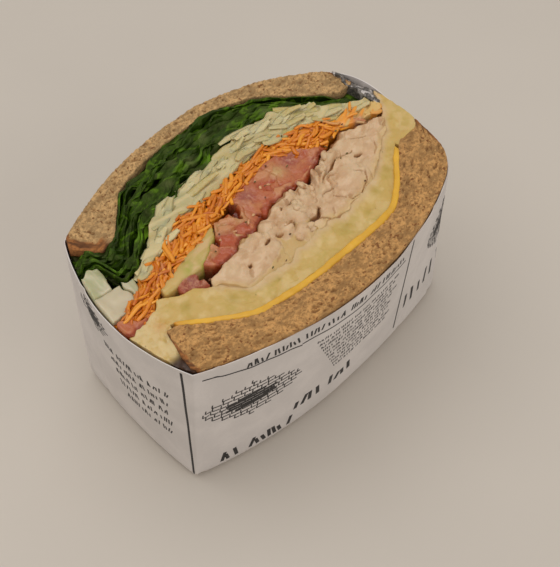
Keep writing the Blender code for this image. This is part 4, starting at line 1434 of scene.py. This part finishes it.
def build_cabbage(sizes, colours):
    """The shredded cabbage: flat soft strips, more glassy beside the lettuce."""
    seams = shared_seams()
    base = tuple(colours.cabbage)
    light, dark = tint(base, 1.22, 1.22, 1.28), tint(base, 0.92, 0.86, 0.55)
    glass = tint(base, 0.8, 0.88, 0.85)
    surface = shred_finish("shredded_cabbage", base, 0.34, light, dark, glass, 0.35, 0.8)

    def looks(x, y):
        glassy = patches(x, y, GLASSY_PATCHES)
        return {"crowd": 1 + 0 * x, "creamy": glassy, "bare": 0 * x, "mauve": 0 * x}

    kind = Shreds(
        density=4.5e4, width=sizes.cabbage_width, thickness=0.6 * MM, longest=2.0 * sizes.shred_length,
        spread=0.16, blunt=0.5, roll=0.35, bend=6 * MM, lift=0.2 * MM, room=(8 * MM, 6), sunk=-0.65 * MM,
        tiers=(-0.1, 0.1, 0.35), shadow=0.3, seed=301,
    )
    sides = (seams.carrot_back, seams.lettuce_front)
    build_heap("cabbage", "cabbage_shreds", "cabbage_pile", sides, -42, 52.5, surface, kind, looks)


LEAF_BRIGHT = ((-30.4, 16.4, 2.4), (-44, 13, 1.5), (2.4, 23.8, 2.2), (-22, 21.5, 1.4), (30, 23, 1.2))
LEAF_PALE = ((7.5, 30.2, 1.7), (28, 23.5, 1.6), (-2, 26, 2.0), (-12, 25, 1.6), (-6, 30, 1.3))
LEAF_COLUMNS, LEAF_ROWS = 190, 14
LEAF_DEPTH = 12 * MM
LEAF_TOP = 1.1 * MM
LEAF_OVER = 6.5 * MM
FULL_PILE = 13 * MM


def leaf_rings(front, back, share, number, thickness, start, end, drift):
    """One leaf seen edge on: it rises out of the pile and folds over to one side and the other."""
    u = np.linspace(start, end, LEAF_COLUMNS)[:, None]
    h = np.linspace(0, 1, LEAF_ROWS)[None, :]
    level = 0 * u
    along = u * LENGTH
    width = block_width(u)
    low, high = front(u), back(u)
    fit = np.clip((high - low) * width / FULL_PILE, 0.25, 1)
    x = place(u, 0.5 * (low + high), FACE_Z)[..., 0]
    curly = 1 + 1.3 * ease(-x, 33 * MM, 42 * MM)
    lap = ease(h, 0.45, 1)
    fold = waves(along / (17 * MM), 5.3 * number + level, 402)
    fold = fold + 0.5 * waves(along / (7 * MM), 3.3 * number + level, 407)
    over = LEAF_OVER * fold * lap * fit
    ruffle = waves(along / (6 * MM), 7.7 * number + level, 400)
    ruffle = ruffle + 0.5 * waves(along / (2.6 * MM), 3.1 * number + h, 401)
    sway = 0.9 * MM * ruffle * (0.3 + 0.7 * h) * fit * curly
    crest = 0.8 * MM * waves(along / (8 * MM), 2.9 * number + level, 403)
    crest = crest + 0.4 * MM * curly * waves(along / (2.2 * MM), 1.3 * number + 1.5 * h, 404)
    ends = ease(np.minimum(u - start, end - u) * LENGTH, 0, 5 * MM)
    rise = np.minimum(h / 0.6, 1)
    z = FACE_Z - LEAF_DEPTH * (1 - rise) + crest * h - 0.4 * abs(over) * lap - 3 * MM * (1 - ends)
    crumple = rough(along + 0 * h, 14 * MM * h, 3.2 * MM, 3, 410 + number)
    z = z + 0.55 * MM * crumple * lap * curly
    sway = sway + 0.7 * MM * rough(along + 0 * h, 14 * MM * h, 4 * MM, 2, 430 + number) * curly * fit
    v = lerp(low, high, np.clip(share + drift * (u - 0.5), 0.02, 0.98)) + (sway + over) / width
    v = np.clip(v, low + 0.3 * MM / width, high - 0.2 * MM / width)
    z = np.minimum(z, FACE_Z + LEAF_TOP)
    middle = place(u + 0 * h, v, np.minimum(z, FACE_Z))
    middle[..., 2] = z
    normal = np.cross(np.gradient(middle, axis=0), np.gradient(middle, axis=1))
    normal /= np.maximum(np.linalg.norm(normal, axis=-1, keepdims=True), 1e-12)
    half = 0.5 * thickness * (1 - 0.4 * h)[..., None] * normal
    rings = np.concatenate([middle + half, (middle - half)[:, ::-1]], axis=1)
    # Painted light: dark low in the pile, lighter up the leaf and on its crumples, with a painted highlight
    # along the top edge.
    light = 0.12 + 0.6 * ease(h, 0.35, 0.9) * (0.6 + 0.4 * waves(along / (6 * MM), 1.7 * number + level, 405))
    light = np.clip(light + 0.2 * ease(h, 0.9, 1) + 0.15 * crumple, 0, 1)
    return rings, np.concatenate([light, light[:, ::-1]], axis=1)


def build_lettuce(sizes, colours):
    """A pile of folded leaves over a core painted dark as shade."""
    seams = shared_seams()
    surface = leaf_finish(colours)
    front, back = seams.lettuce_front, seams.back_crumb
    layer = Layer(front, back, None, 54, 0.9 * MM)
    deep = -3.2 * MM + 0.5 * MM * uneven_face(layer.spot, 3 * MM, 410)
    none = np.zeros(layer.u.shape)
    # The core takes the darkest painted shade of the leaves.
    core = layer.build("lettuce_core", deep, surface, {"tone": none, "bright": none, "pale": none},
                       edge_round=1 * MM)
    seat(core, "lettuce_leaf", "lettuce_leaves")
    leaves = []
    count = sizes.leaf_count
    random = np.random.default_rng(17)
    for number in range(count):
        share = lerp(0.06, 0.95, (number + 0.5) / count)
        start = layer.start + 0.3 * random.random() ** 3
        end = layer.end - 0.35 * random.random() ** 2
        drift = random.uniform(-0.3, 0.15)
        rings, tone = leaf_rings(front, back, share, number, sizes.leaf_thickness, start, end, drift)
        x, y = rings[..., 0], rings[..., 1]
        attributes = {"tone": tone, "bright": patches(x, y, LEAF_BRIGHT), "pale": patches(x, y, LEAF_PALE)}
        leaves.append(skin(f"leaf_{number}", rings, surface, attributes))
    seat(join("lettuce_pile", leaves), "lettuce_leaf")


# ---- the wrap


def unit_rows(vectors):
    """Vectors of length one."""
    return vectors / np.maximum(np.linalg.norm(vectors, axis=-1, keepdims=True), 1e-12)


WALL_COLUMNS = 460
FOOT_RINGS = (0, 0.5, 1.2, 2.2, 3.4)
# Upright dents in the paper: a share of the way round, and a depth.
DENTS = ((0.012, 0.3 * MM), (0.27, 0.2 * MM), (0.33, 0.35 * MM), (0.60, 0.25 * MM), (0.86, 0.3 * MM))
DENT_WIDTH = 1.1 * MM
FOLD_PLACES = 80
FOLD_RISE, FOLD_OUT = 8, 12
FOLD_V = (0.975, 0.575)
FOLD_INNER = 53.9
FOLD_FOOT_Z = 58 * MM
FOLD_THICKNESS = 0.25 * MM
# A stroke of print in section: which side, and the height over the wall in millimetres.
INK_SECTION = ((1, -0.03), (1, 0.05), (-1, 0.05), (-1, -0.03))


class Wall:
    """The wrap's outer surface: a grid of points over the way round it and its height."""

    def __init__(self):
        corners = self.corner_walk(1400)
        points = place(corners[:, 0], corners[:, 1], RIM_Z)[:, :2]
        way = np.concatenate([[0], np.cumsum(np.linalg.norm(np.diff(points, axis=0), axis=1))])
        self.total = way[-1]
        self.way = np.linspace(0, self.total, WALL_COLUMNS, endpoint=False)
        self.u = np.interp(self.way, way, corners[:, 0])
        self.v = np.interp(self.way, way, corners[:, 1])
        self.height = np.concatenate([FOOT_RINGS, np.linspace(4.6, 67.4, 44)]) * MM
        self.grid = np.stack([self.ring(z) for z in self.height])

    def corner_walk(self, count):
        """u and v round the block from the front left corner, anticlockwise, and back to it."""
        side = np.linspace(0, 1, count // 4, endpoint=False)
        zero, one = 0 * side, 0 * side + 1
        legs = [(side, zero), (one, side), (1 - side, one), (zero, 1 - side)]
        walk = np.concatenate([np.stack(leg, axis=1) for leg in legs])
        return np.concatenate([walk, walk[:1]])

    def rise(self, z):
        """The height of each column's point on a ring: the rim waves and its end fold stands up."""
        share = z / RIM_Z
        wave = 0.45 * MM * np.sin(9 * self.u + 4 * self.v)
        wave = wave + 0.25 * MM * waves(self.way / (7 * MM), 0 * self.way, 501)
        across = np.clip((self.v - 0.45) / 0.55, 0, 1)
        end = ease(self.u, 0.97, 0.995) * np.clip(np.sin(math.pi * across), 0, 1)
        return z + share ** 6 * (wave + 2.0 * MM * end)

    def ring(self, z):
        """The closed ring of points at height z, outset from the food and softly buckled."""
        base = place(self.u, self.v, np.full(len(self.way), z))
        ahead, behind = np.roll(base, -1, axis=0), np.roll(base, 1, axis=0)
        step = unit_rows((ahead - behind)[:, :2])
        normal = np.stack([step[:, 1], -step[:, 0]], axis=1)
        for _ in range(6):
            normal = unit_rows(normal + np.roll(normal, 1, axis=0) + np.roll(normal, -1, axis=0))
        share = z / RIM_Z
        buckle = 0.3 * MM * rough(self.way, 0 * self.way + z * 0.7, 16 * MM, 2, 502) * share
        for spot, sink in DENTS:
            away = (self.way - spot * self.total - 0.08 * (z - 30 * MM)) / DENT_WIDTH
            buckle = buckle - sink * np.exp(-away * away)
        outset = lerp(0.85 * MM, 0.6 * MM, share ** 4) + np.clip(buckle, -0.4 * MM, 0.1 * MM)
        base[:, :2] += normal * outset[:, None]
        base[:, 2] = self.rise(z) if z > 0 else 0
        return base

    def point(self, way, z):
        """A point of the wall and its outward direction, a stretch along the way round and z up."""
        column = (way % self.total) / self.total * len(self.way)
        left = int(column) % len(self.way)
        right = (left + 1) % len(self.way)
        row = float(np.interp(z, self.height, np.arange(len(self.height))))
        low = min(int(row), len(self.height) - 2)
        a, b = self.grid[low, left], self.grid[low, right]
        c, d = self.grid[low + 1, left], self.grid[low + 1, right]
        s, t = column - int(column), row - low
        where = lerp(lerp(a, b, s), lerp(c, d, s), t)
        normal = np.cross(b - a, c - a)
        return where, normal / np.linalg.norm(normal)


def build_wrap(sizes, colours):
    """The paper tray: a thin wall round the sides, closed under the food."""
    wall = Wall()
    surface = paper_finish(colours)
    outer = wall.grid
    thickness = sizes.paper_thickness
    ahead, behind = np.roll(outer, -1, axis=1), np.roll(outer, 1, axis=1)
    step = (ahead - behind)[..., :2]
    inward = unit_rows(np.stack([-step[..., 1], step[..., 0]], axis=-1))
    inner = outer.copy()
    inner[..., :2] += thickness * inward
    inner[:, :, 2] = np.maximum(inner[:, :, 2], thickness)
    rings = np.concatenate([outer, inner[::-1]])
    piece = skin("paper_tray", rings, surface)
    seat(piece, "greaseproof_paper", "paper_wrap")
    build_fold(colours)
    build_print(wall, ink_finish(colours))


def build_fold(colours):
    """The crumpled printed fold that fills the narrow end between the lettuce and the wrap."""
    rise = np.concatenate([np.linspace(0, 1, FOLD_RISE + 1), np.ones(FOLD_OUT - 1)])
    out = np.concatenate([np.zeros(FOLD_RISE), np.linspace(0, 1, FOLD_OUT)])
    level = np.ones(len(out))
    rings = []
    for share in np.linspace(0, 1, FOLD_PLACES):
        v = lerp(*FOLD_V, share)
        left, right = end_x(FACE, v)
        inner = (FOLD_INNER - 0.8 * math.sin(3 * share)) * MM
        x = lerp(inner, right + 0.1 * MM, out)
        ridge = FACE_Z + (0.5 + 0.6 * math.sin(11 * share)) * MM
        rough_x, rough_z = (
            rough(share * 20 * MM * level, (rise + out) * 7 * MM, 2.4 * MM, 2, salt) for salt in (601, 602)
        )
        x = x + 0.5 * MM * rough_x * (1 - out)
        z = lerp(FOLD_FOOT_Z, ridge, rise) - 2.4 * MM * out ** 1.5
        z = z + 0.8 * MM * rough_z * np.sin(math.pi * out)
        front = place((x - left) / (right - left), v * level, z)
        front[:, 2] = z
        step = np.gradient(front, axis=0)
        off = unit_rows(np.stack([step[:, 2], 0 * step[:, 0], -step[:, 0]], axis=1))
        rings.append(np.concatenate([front, (front + FOLD_THICKNESS * off)[::-1]]))
    seat(skin("paper_fold", np.array(rings), fold_finish(colours)), "greaseproof_paper")


def fold_finish(colours):
    """Paper printed nearly black, with paler creases."""
    made = Finish("printed_fold", 0.5)
    creases = made.noise(2.2 * MM, 3, 0.6, 0.7, vector=made.stretched((1, 1, 0.4)))
    blotches = made.between(made.noise(0.9 * MM, 2), 0.4, 0.65)
    made.colour = made.mix(blotches, paint(74, 70, 66), paint(122, 114, 106))
    made.wash(made.between(creases, 0.53, 0.63), shade(tuple(colours.paper), 0.8))
    return made.done()


class Ink:
    """Flat strokes of print that lie on the wall."""

    def __init__(self, wall):
        self.wall = wall
        self.points = []
        self.faces = []

    def stroke(self, path, width):
        """A stroke along (way, height) points, in millimetres, of the given width in millimetres."""
        path = np.array(path, float) * MM
        step = np.gradient(path, axis=0)
        side = unit_rows(np.stack([-step[:, 1], step[:, 0]], axis=1)) * 0.5 * width * MM
        rings = []
        for middle, off in zip(path, side):
            ring = []
            for sign, lift in INK_SECTION:
                where, normal = self.wall.point(*(middle + sign * off))
                ring.append(where + normal * lift * MM)
            rings.append(ring)
        first = len(self.points)
        self.points += [point for ring in rings for point in ring]
        self.faces += grid_faces(len(rings), 4, first, wrap=True)
        self.faces.append((first, first + 1, first + 2, first + 3))
        last = first + 4 * (len(rings) - 1)
        self.faces.append((last, last + 1, last + 2, last + 3))

    def line(self, start, end, width, sway=0.0):
        """A straight stroke in short steps, which may sway."""
        start, end = np.array(start, float), np.array(end, float)
        count = max(2, math.ceil(np.linalg.norm(end - start) / 1.2) + 1)
        share = np.linspace(0, 1, count)[:, None]
        path = start + (end - start) * share
        path[:, 1] += sway * np.sin(9 * share[:, 0] + 1) + 0.4 * sway * np.sin(23 * share[:, 0])
        self.stroke(path, width)

    def row(self, random, start, end, height, tall, gap, mark):
        """Greeked writing: short upright strokes in groups."""
        way = start
        while way < end:
            for _ in range(random.integers(3, 8)):
                if way > end:
                    break
                lean = random.uniform(-0.25, 0.25) * tall
                part = random.choice((1.0, 1.0, 0.7))
                self.line((way, height), (way + lean, height + tall * part), mark)
                way += random.uniform(0.7, 1.3) * gap
            way += 1.1 * gap

    def dashes(self, random, start, end, height, longest, thick):
        """Greeked small writing: a row of short level dashes."""
        way = start
        while way < end:
            size = min(random.uniform(0.35, 1.0) * longest, end - way)
            if size > 0.3:
                self.line((way, height), (way + size, height), thick)
            way += size + 0.55

    def object(self, name, surface):
        """All strokes as one piece."""
        mesh = new_mesh(name, [tuple(point) for point in self.points], self.faces)
        return piece_object(name, mesh, surface)


def build_print(wall, surface):
    """Generic print: rules, rows of dashes and hatched shapes."""
    ink = Ink(wall)
    random = np.random.default_rng(5)
    whole = wall.total / MM
    ink.line((whole - 0.6, 2), (whole - 3.3, 66.2), 0.75)
    ink.line((83.3, 8), (79.5, 66.2), 0.6)
    ink.line((2.5, 62.5), (34, 58.6), 0.55, sway=0.35)
    ink.line((34, 58.6), (77, 58.4), 0.55, sway=0.35)
    ink.row(random, 16, 76, 60.9, 3.2, 1.25, 0.6)
    for step in range(11):
        ink.row(random, 40 + 1.0 * step, 75 - 1.5 * (step % 3), 53 - 2.6 * step, 1.3, 0.75, 0.36)
    ink.row(random, 36, 62, 14, 6.0, 2.7, 1.4)
    ink.row(random, 9, 36, 5, 5.5, 2.6, 1.3)
    hatch(ink, random, 19, 40, 15.5, 10)
    hatch(ink, random, 104, 46, 9, 11)
    ink.row(random, 87, 113, 17, 9, 3.6, 1.2)
    for step in range(5):
        ink.row(random, whole - 36 + 1.5 * step, whole - 9, 46 - 6 * step, 2.8, 1.0, 0.5)
    hatch(ink, random, whole - 40, 57, 7, 6.5)
    back = 0.5 * whole
    ink.line((back - 20, 58), (back + 60, 58), 0.55, sway=0.5)
    ink.row(random, back - 18, back + 56, 60.8, 2.6, 1.5, 0.42)
    for step in range(8):
        ink.dashes(random, back + 18, back + 52 - 3 * (step % 2), 50 - 2.3 * step, 3.6, 0.5)
    hatch(ink, random, back - 4, 40, 14, 10)
    seat(ink.object("wrap_print", surface), "greaseproof_paper")


def hatch(ink, random, way, height, half_way, half_height):
    """A hatched lozenge with a solid bar through it."""
    rows = int(2 * half_height / 2.0)
    for step in range(rows + 1):
        up = lerp(-half_height, half_height, step / rows)
        reach = half_way * (1 - (abs(up) / half_height) ** 1.8) + 1.2
        at = way - reach
        while at < way + reach:
            size = min(random.uniform(1.6, 3.4), way + reach - at)
            if size > 0.5:
                ink.line((at, height + up), (at + size, height + up + 0.1 * size), 0.5)
                ink.line((at, height + up), (at + 0.2, height + up + 1.7), 0.4)
            at += size + 0.4
    for up, reach in ((-2.6, 0.4), (-1.3, 0.6), (0.2, 0.55), (1.7, 0.6), (3.1, 0.35)):
        ink.line((way - reach * half_way, height + up - 0.6),
                 (way + (reach - 0.1) * half_way, height + up + 0.8), 1.2)


def build_bits():
    """Dark herb and pepper flecks over the fillings."""
    seams = shared_seams()
    layer = Layer(seams.egg_back, seams.carrot_back, -44, 46, 1.0 * MM)
    crowd = np.ones(layer.u.shape)
    bed = layer.bed("fleck_bed", np.full(layer.u.shape, 0.9 * MM), {"crowd": crowd, "bearing": 0 * layer.u})
    surface = fleck_finish()
    flecks = grow_nubs(bed, "herb_flecks", surface, density=1.4e4, size=0.4 * MM, seed=71,
                       subdivisions=1, unevenness=0.06 * MM, pitch=0.6 * MM)
    seat(flecks, "lettuce_leaf")


def fleck_finish():
    """Dried herb, from olive to brown."""
    made = Finish("herb_fleck", 0.6)
    tone = made.between(made.attribute("tone"), 0.3, 0.7)
    made.colour = made.mix(tone, paint(104, 92, 40), paint(96, 58, 34))
    return made.done()


# ---- the stage


TABLE_HALF = 3.0
LIGHTS = (
    ("soft_overhead", (-0.2, 0.25, 1.3), 1.3, 7.5, (1.0, 0.97, 0.95)),
    ("soft_front", (0.05, -1.2, 0.8), 0.9, 2.9, (1.0, 0.98, 0.97)),
)
LIT_POINT = (0, 0, 0.03)
ROOM_COLOUR = (1.0, 0.98, 0.96, 1)
ROOM_STRENGTH = 0.5
CAMERA_TARGET = (0.02026, 0.01025, 0)
CAMERA_AZIMUTH = -47.05
CAMERA_ELEVATION = 54
CAMERA_DISTANCE = 0.55
CAMERA_LENS = 104.76


def build_stage(colours):
    """The table, the soft light and the camera."""
    corners = [(x * TABLE_HALF, y * TABLE_HALF, 0) for x, y in ((-1, -1), (1, -1), (1, 1), (-1, 1))]
    mesh = new_mesh("table_top", corners, [(0, 1, 2, 3)])
    mesh.materials.append(table_finish(colours))
    show("table_top", mesh)
    for light in LIGHTS:
        add_light(*light)
    world = bpy.data.worlds.new("soft_room")
    world.use_nodes = True
    background = world.node_tree.nodes["Background"]
    background.inputs["Color"].default_value = ROOM_COLOUR
    background.inputs["Strength"].default_value = ROOM_STRENGTH
    bpy.context.scene.world = world
    bpy.context.scene.view_settings.view_transform = "Standard"
    add_camera()


def add_light(name, where, size, power, rgb):
    """A square soft light that looks at the sandwich."""
    data = bpy.data.lights.new(name, "AREA")
    data.size = size
    data.energy = power
    data.color = rgb
    light = show(name, data)
    light.location = where
    light.rotation_mode = "QUATERNION"
    light.rotation_quaternion = (Vector(LIT_POINT) - Vector(where)).to_track_quat("-Z", "Y")


def add_camera():
    """The camera, looking down on the cut face from the front left."""
    azimuth, elevation = math.radians(CAMERA_AZIMUTH), math.radians(CAMERA_ELEVATION)
    level = math.cos(elevation)
    back = Vector((math.sin(azimuth) * level, -math.cos(azimuth) * level, math.sin(elevation)))
    data = bpy.data.cameras.new("view")
    data.lens = CAMERA_LENS
    data.sensor_width = 36
    data.clip_start = 0.01
    camera = show("view", data)
    camera.location = Vector(CAMERA_TARGET) + back * CAMERA_DISTANCE
    camera.rotation_mode = "QUATERNION"
    camera.rotation_quaternion = (-back).to_track_quat("-Z", "Y")
    bpy.context.scene.camera = camera


# ---- operators


class Builder(bpy.types.Operator):
    """Shared by the operators that build one group of pieces."""

    bl_options = {"REGISTER", "UNDO"}

    def settings(self, context):
        """The sizes and colours in use."""
        return context.scene.sandwich_sizes, context.scene.sandwich_colours


class SANDWICH_OT_bread(Builder):
    """Build the two wholemeal slices."""

    bl_idname = "sandwich.bread"
    bl_label = "Bread"

    def execute(self, context):
        build_bread(*self.settings(context))
        return {"FINISHED"}


class SANDWICH_OT_cheese(Builder):
    """Build the cheese slice."""

    bl_idname = "sandwich.cheese"
    bl_label = "Cheese"

    def execute(self, context):
        build_cheese(context.scene.sandwich_colours)
        return {"FINISHED"}


class SANDWICH_OT_egg(Builder):
    """Build the egg filling."""

    bl_idname = "sandwich.egg"
    bl_label = "Egg filling"

    def execute(self, context):
        build_egg(*self.settings(context))
        return {"FINISHED"}


class SANDWICH_OT_chicken(Builder):
    """Build the chicken chunks and their flakes."""

    bl_idname = "sandwich.chicken"
    bl_label = "Chicken"

    def execute(self, context):
        build_chicken(context.scene.sandwich_colours)
        return {"FINISHED"}


class SANDWICH_OT_tomato(Builder):
    """Build the tomato pieces and seeds."""

    bl_idname = "sandwich.tomato"
    bl_label = "Tomato"

    def execute(self, context):
        build_tomato(context.scene.sandwich_colours)
        return {"FINISHED"}


class SANDWICH_OT_greens(Builder):
    """Build the pale green strip and the lettuce ribs."""

    bl_idname = "sandwich.greens"
    bl_label = "Green strip and ribs"

    def execute(self, context):
        build_greens(context.scene.sandwich_colours)
        return {"FINISHED"}


class SANDWICH_OT_carrot(Builder):
    """Build the shredded carrot."""

    bl_idname = "sandwich.carrot"
    bl_label = "Carrot"

    def execute(self, context):
        build_carrot(*self.settings(context))
        return {"FINISHED"}


class SANDWICH_OT_cabbage(Builder):
    """Build the shredded cabbage."""

    bl_idname = "sandwich.cabbage"
    bl_label = "Cabbage"

    def execute(self, context):
        build_cabbage(*self.settings(context))
        return {"FINISHED"}


class SANDWICH_OT_lettuce(Builder):
    """Build the pile of lettuce leaves."""

    bl_idname = "sandwich.lettuce"
    bl_label = "Lettuce"

    def execute(self, context):
        build_lettuce(*self.settings(context))
        return {"FINISHED"}


class SANDWICH_OT_bits(Builder):
    """Scatter herb flecks over the fillings."""

    bl_idname = "sandwich.bits"
    bl_label = "Herb flecks"

    def execute(self, context):
        build_bits()
        return {"FINISHED"}


class SANDWICH_OT_wrap(Builder):
    """Build the paper wrap and its print."""

    bl_idname = "sandwich.wrap"
    bl_label = "Paper wrap"

    def execute(self, context):
        build_wrap(*self.settings(context))
        return {"FINISHED"}


class SANDWICH_OT_stage(Builder):
    """Set up the table, the light and the camera."""

    bl_idname = "sandwich.stage"
    bl_label = "Stage"

    def execute(self, context):
        build_stage(context.scene.sandwich_colours)
        return {"FINISHED"}


OPERATORS = (SANDWICH_OT_bread, SANDWICH_OT_cheese, SANDWICH_OT_egg, SANDWICH_OT_chicken, SANDWICH_OT_tomato,
             SANDWICH_OT_greens, SANDWICH_OT_carrot, SANDWICH_OT_cabbage, SANDWICH_OT_lettuce,
             SANDWICH_OT_bits, SANDWICH_OT_wrap, SANDWICH_OT_stage)


class SANDWICH_PT_panel(bpy.types.Panel):
    """Lists the builders in the 3D view's sidebar."""

    bl_idname = "SANDWICH_PT_panel"
    bl_label = "Half sandwich"
    bl_space_type = "VIEW_3D"
    bl_region_type = "UI"
    bl_category = "Sandwich"

    def draw(self, context):
        for group in (context.scene.sandwich_sizes, context.scene.sandwich_colours):
            for key in group.bl_rna.properties.keys():
                if key not in ("rna_type", "name"):
                    self.layout.prop(group, key)
        for operator in OPERATORS:
            self.layout.operator(operator.bl_idname)


CLASSES = (SandwichSizes, SandwichColours, *OPERATORS, SANDWICH_PT_panel)


def register():
    """Register the classes and their settings on the scene."""
    for made in CLASSES:
        bpy.utils.register_class(made)
    bpy.types.Scene.sandwich_sizes = PointerProperty(type=SandwichSizes)
    bpy.types.Scene.sandwich_colours = PointerProperty(type=SandwichColours)


def unregister():
    """Remove the settings and the classes."""
    del bpy.types.Scene.sandwich_colours
    del bpy.types.Scene.sandwich_sizes
    for made in reversed(CLASSES):
        bpy.utils.unregister_class(made)


def main():
    """Build everything in order."""
    register()
    bpy.ops.sandwich.bread()
    bpy.ops.sandwich.cheese()
    bpy.ops.sandwich.egg()
    bpy.ops.sandwich.chicken()
    bpy.ops.sandwich.tomato()
    bpy.ops.sandwich.greens()
    bpy.ops.sandwich.carrot()
    bpy.ops.sandwich.cabbage()
    bpy.ops.sandwich.lettuce()
    bpy.ops.sandwich.bits()
    bpy.ops.sandwich.wrap()
    bpy.ops.sandwich.stage()


if __name__ == "__main__":
    main()
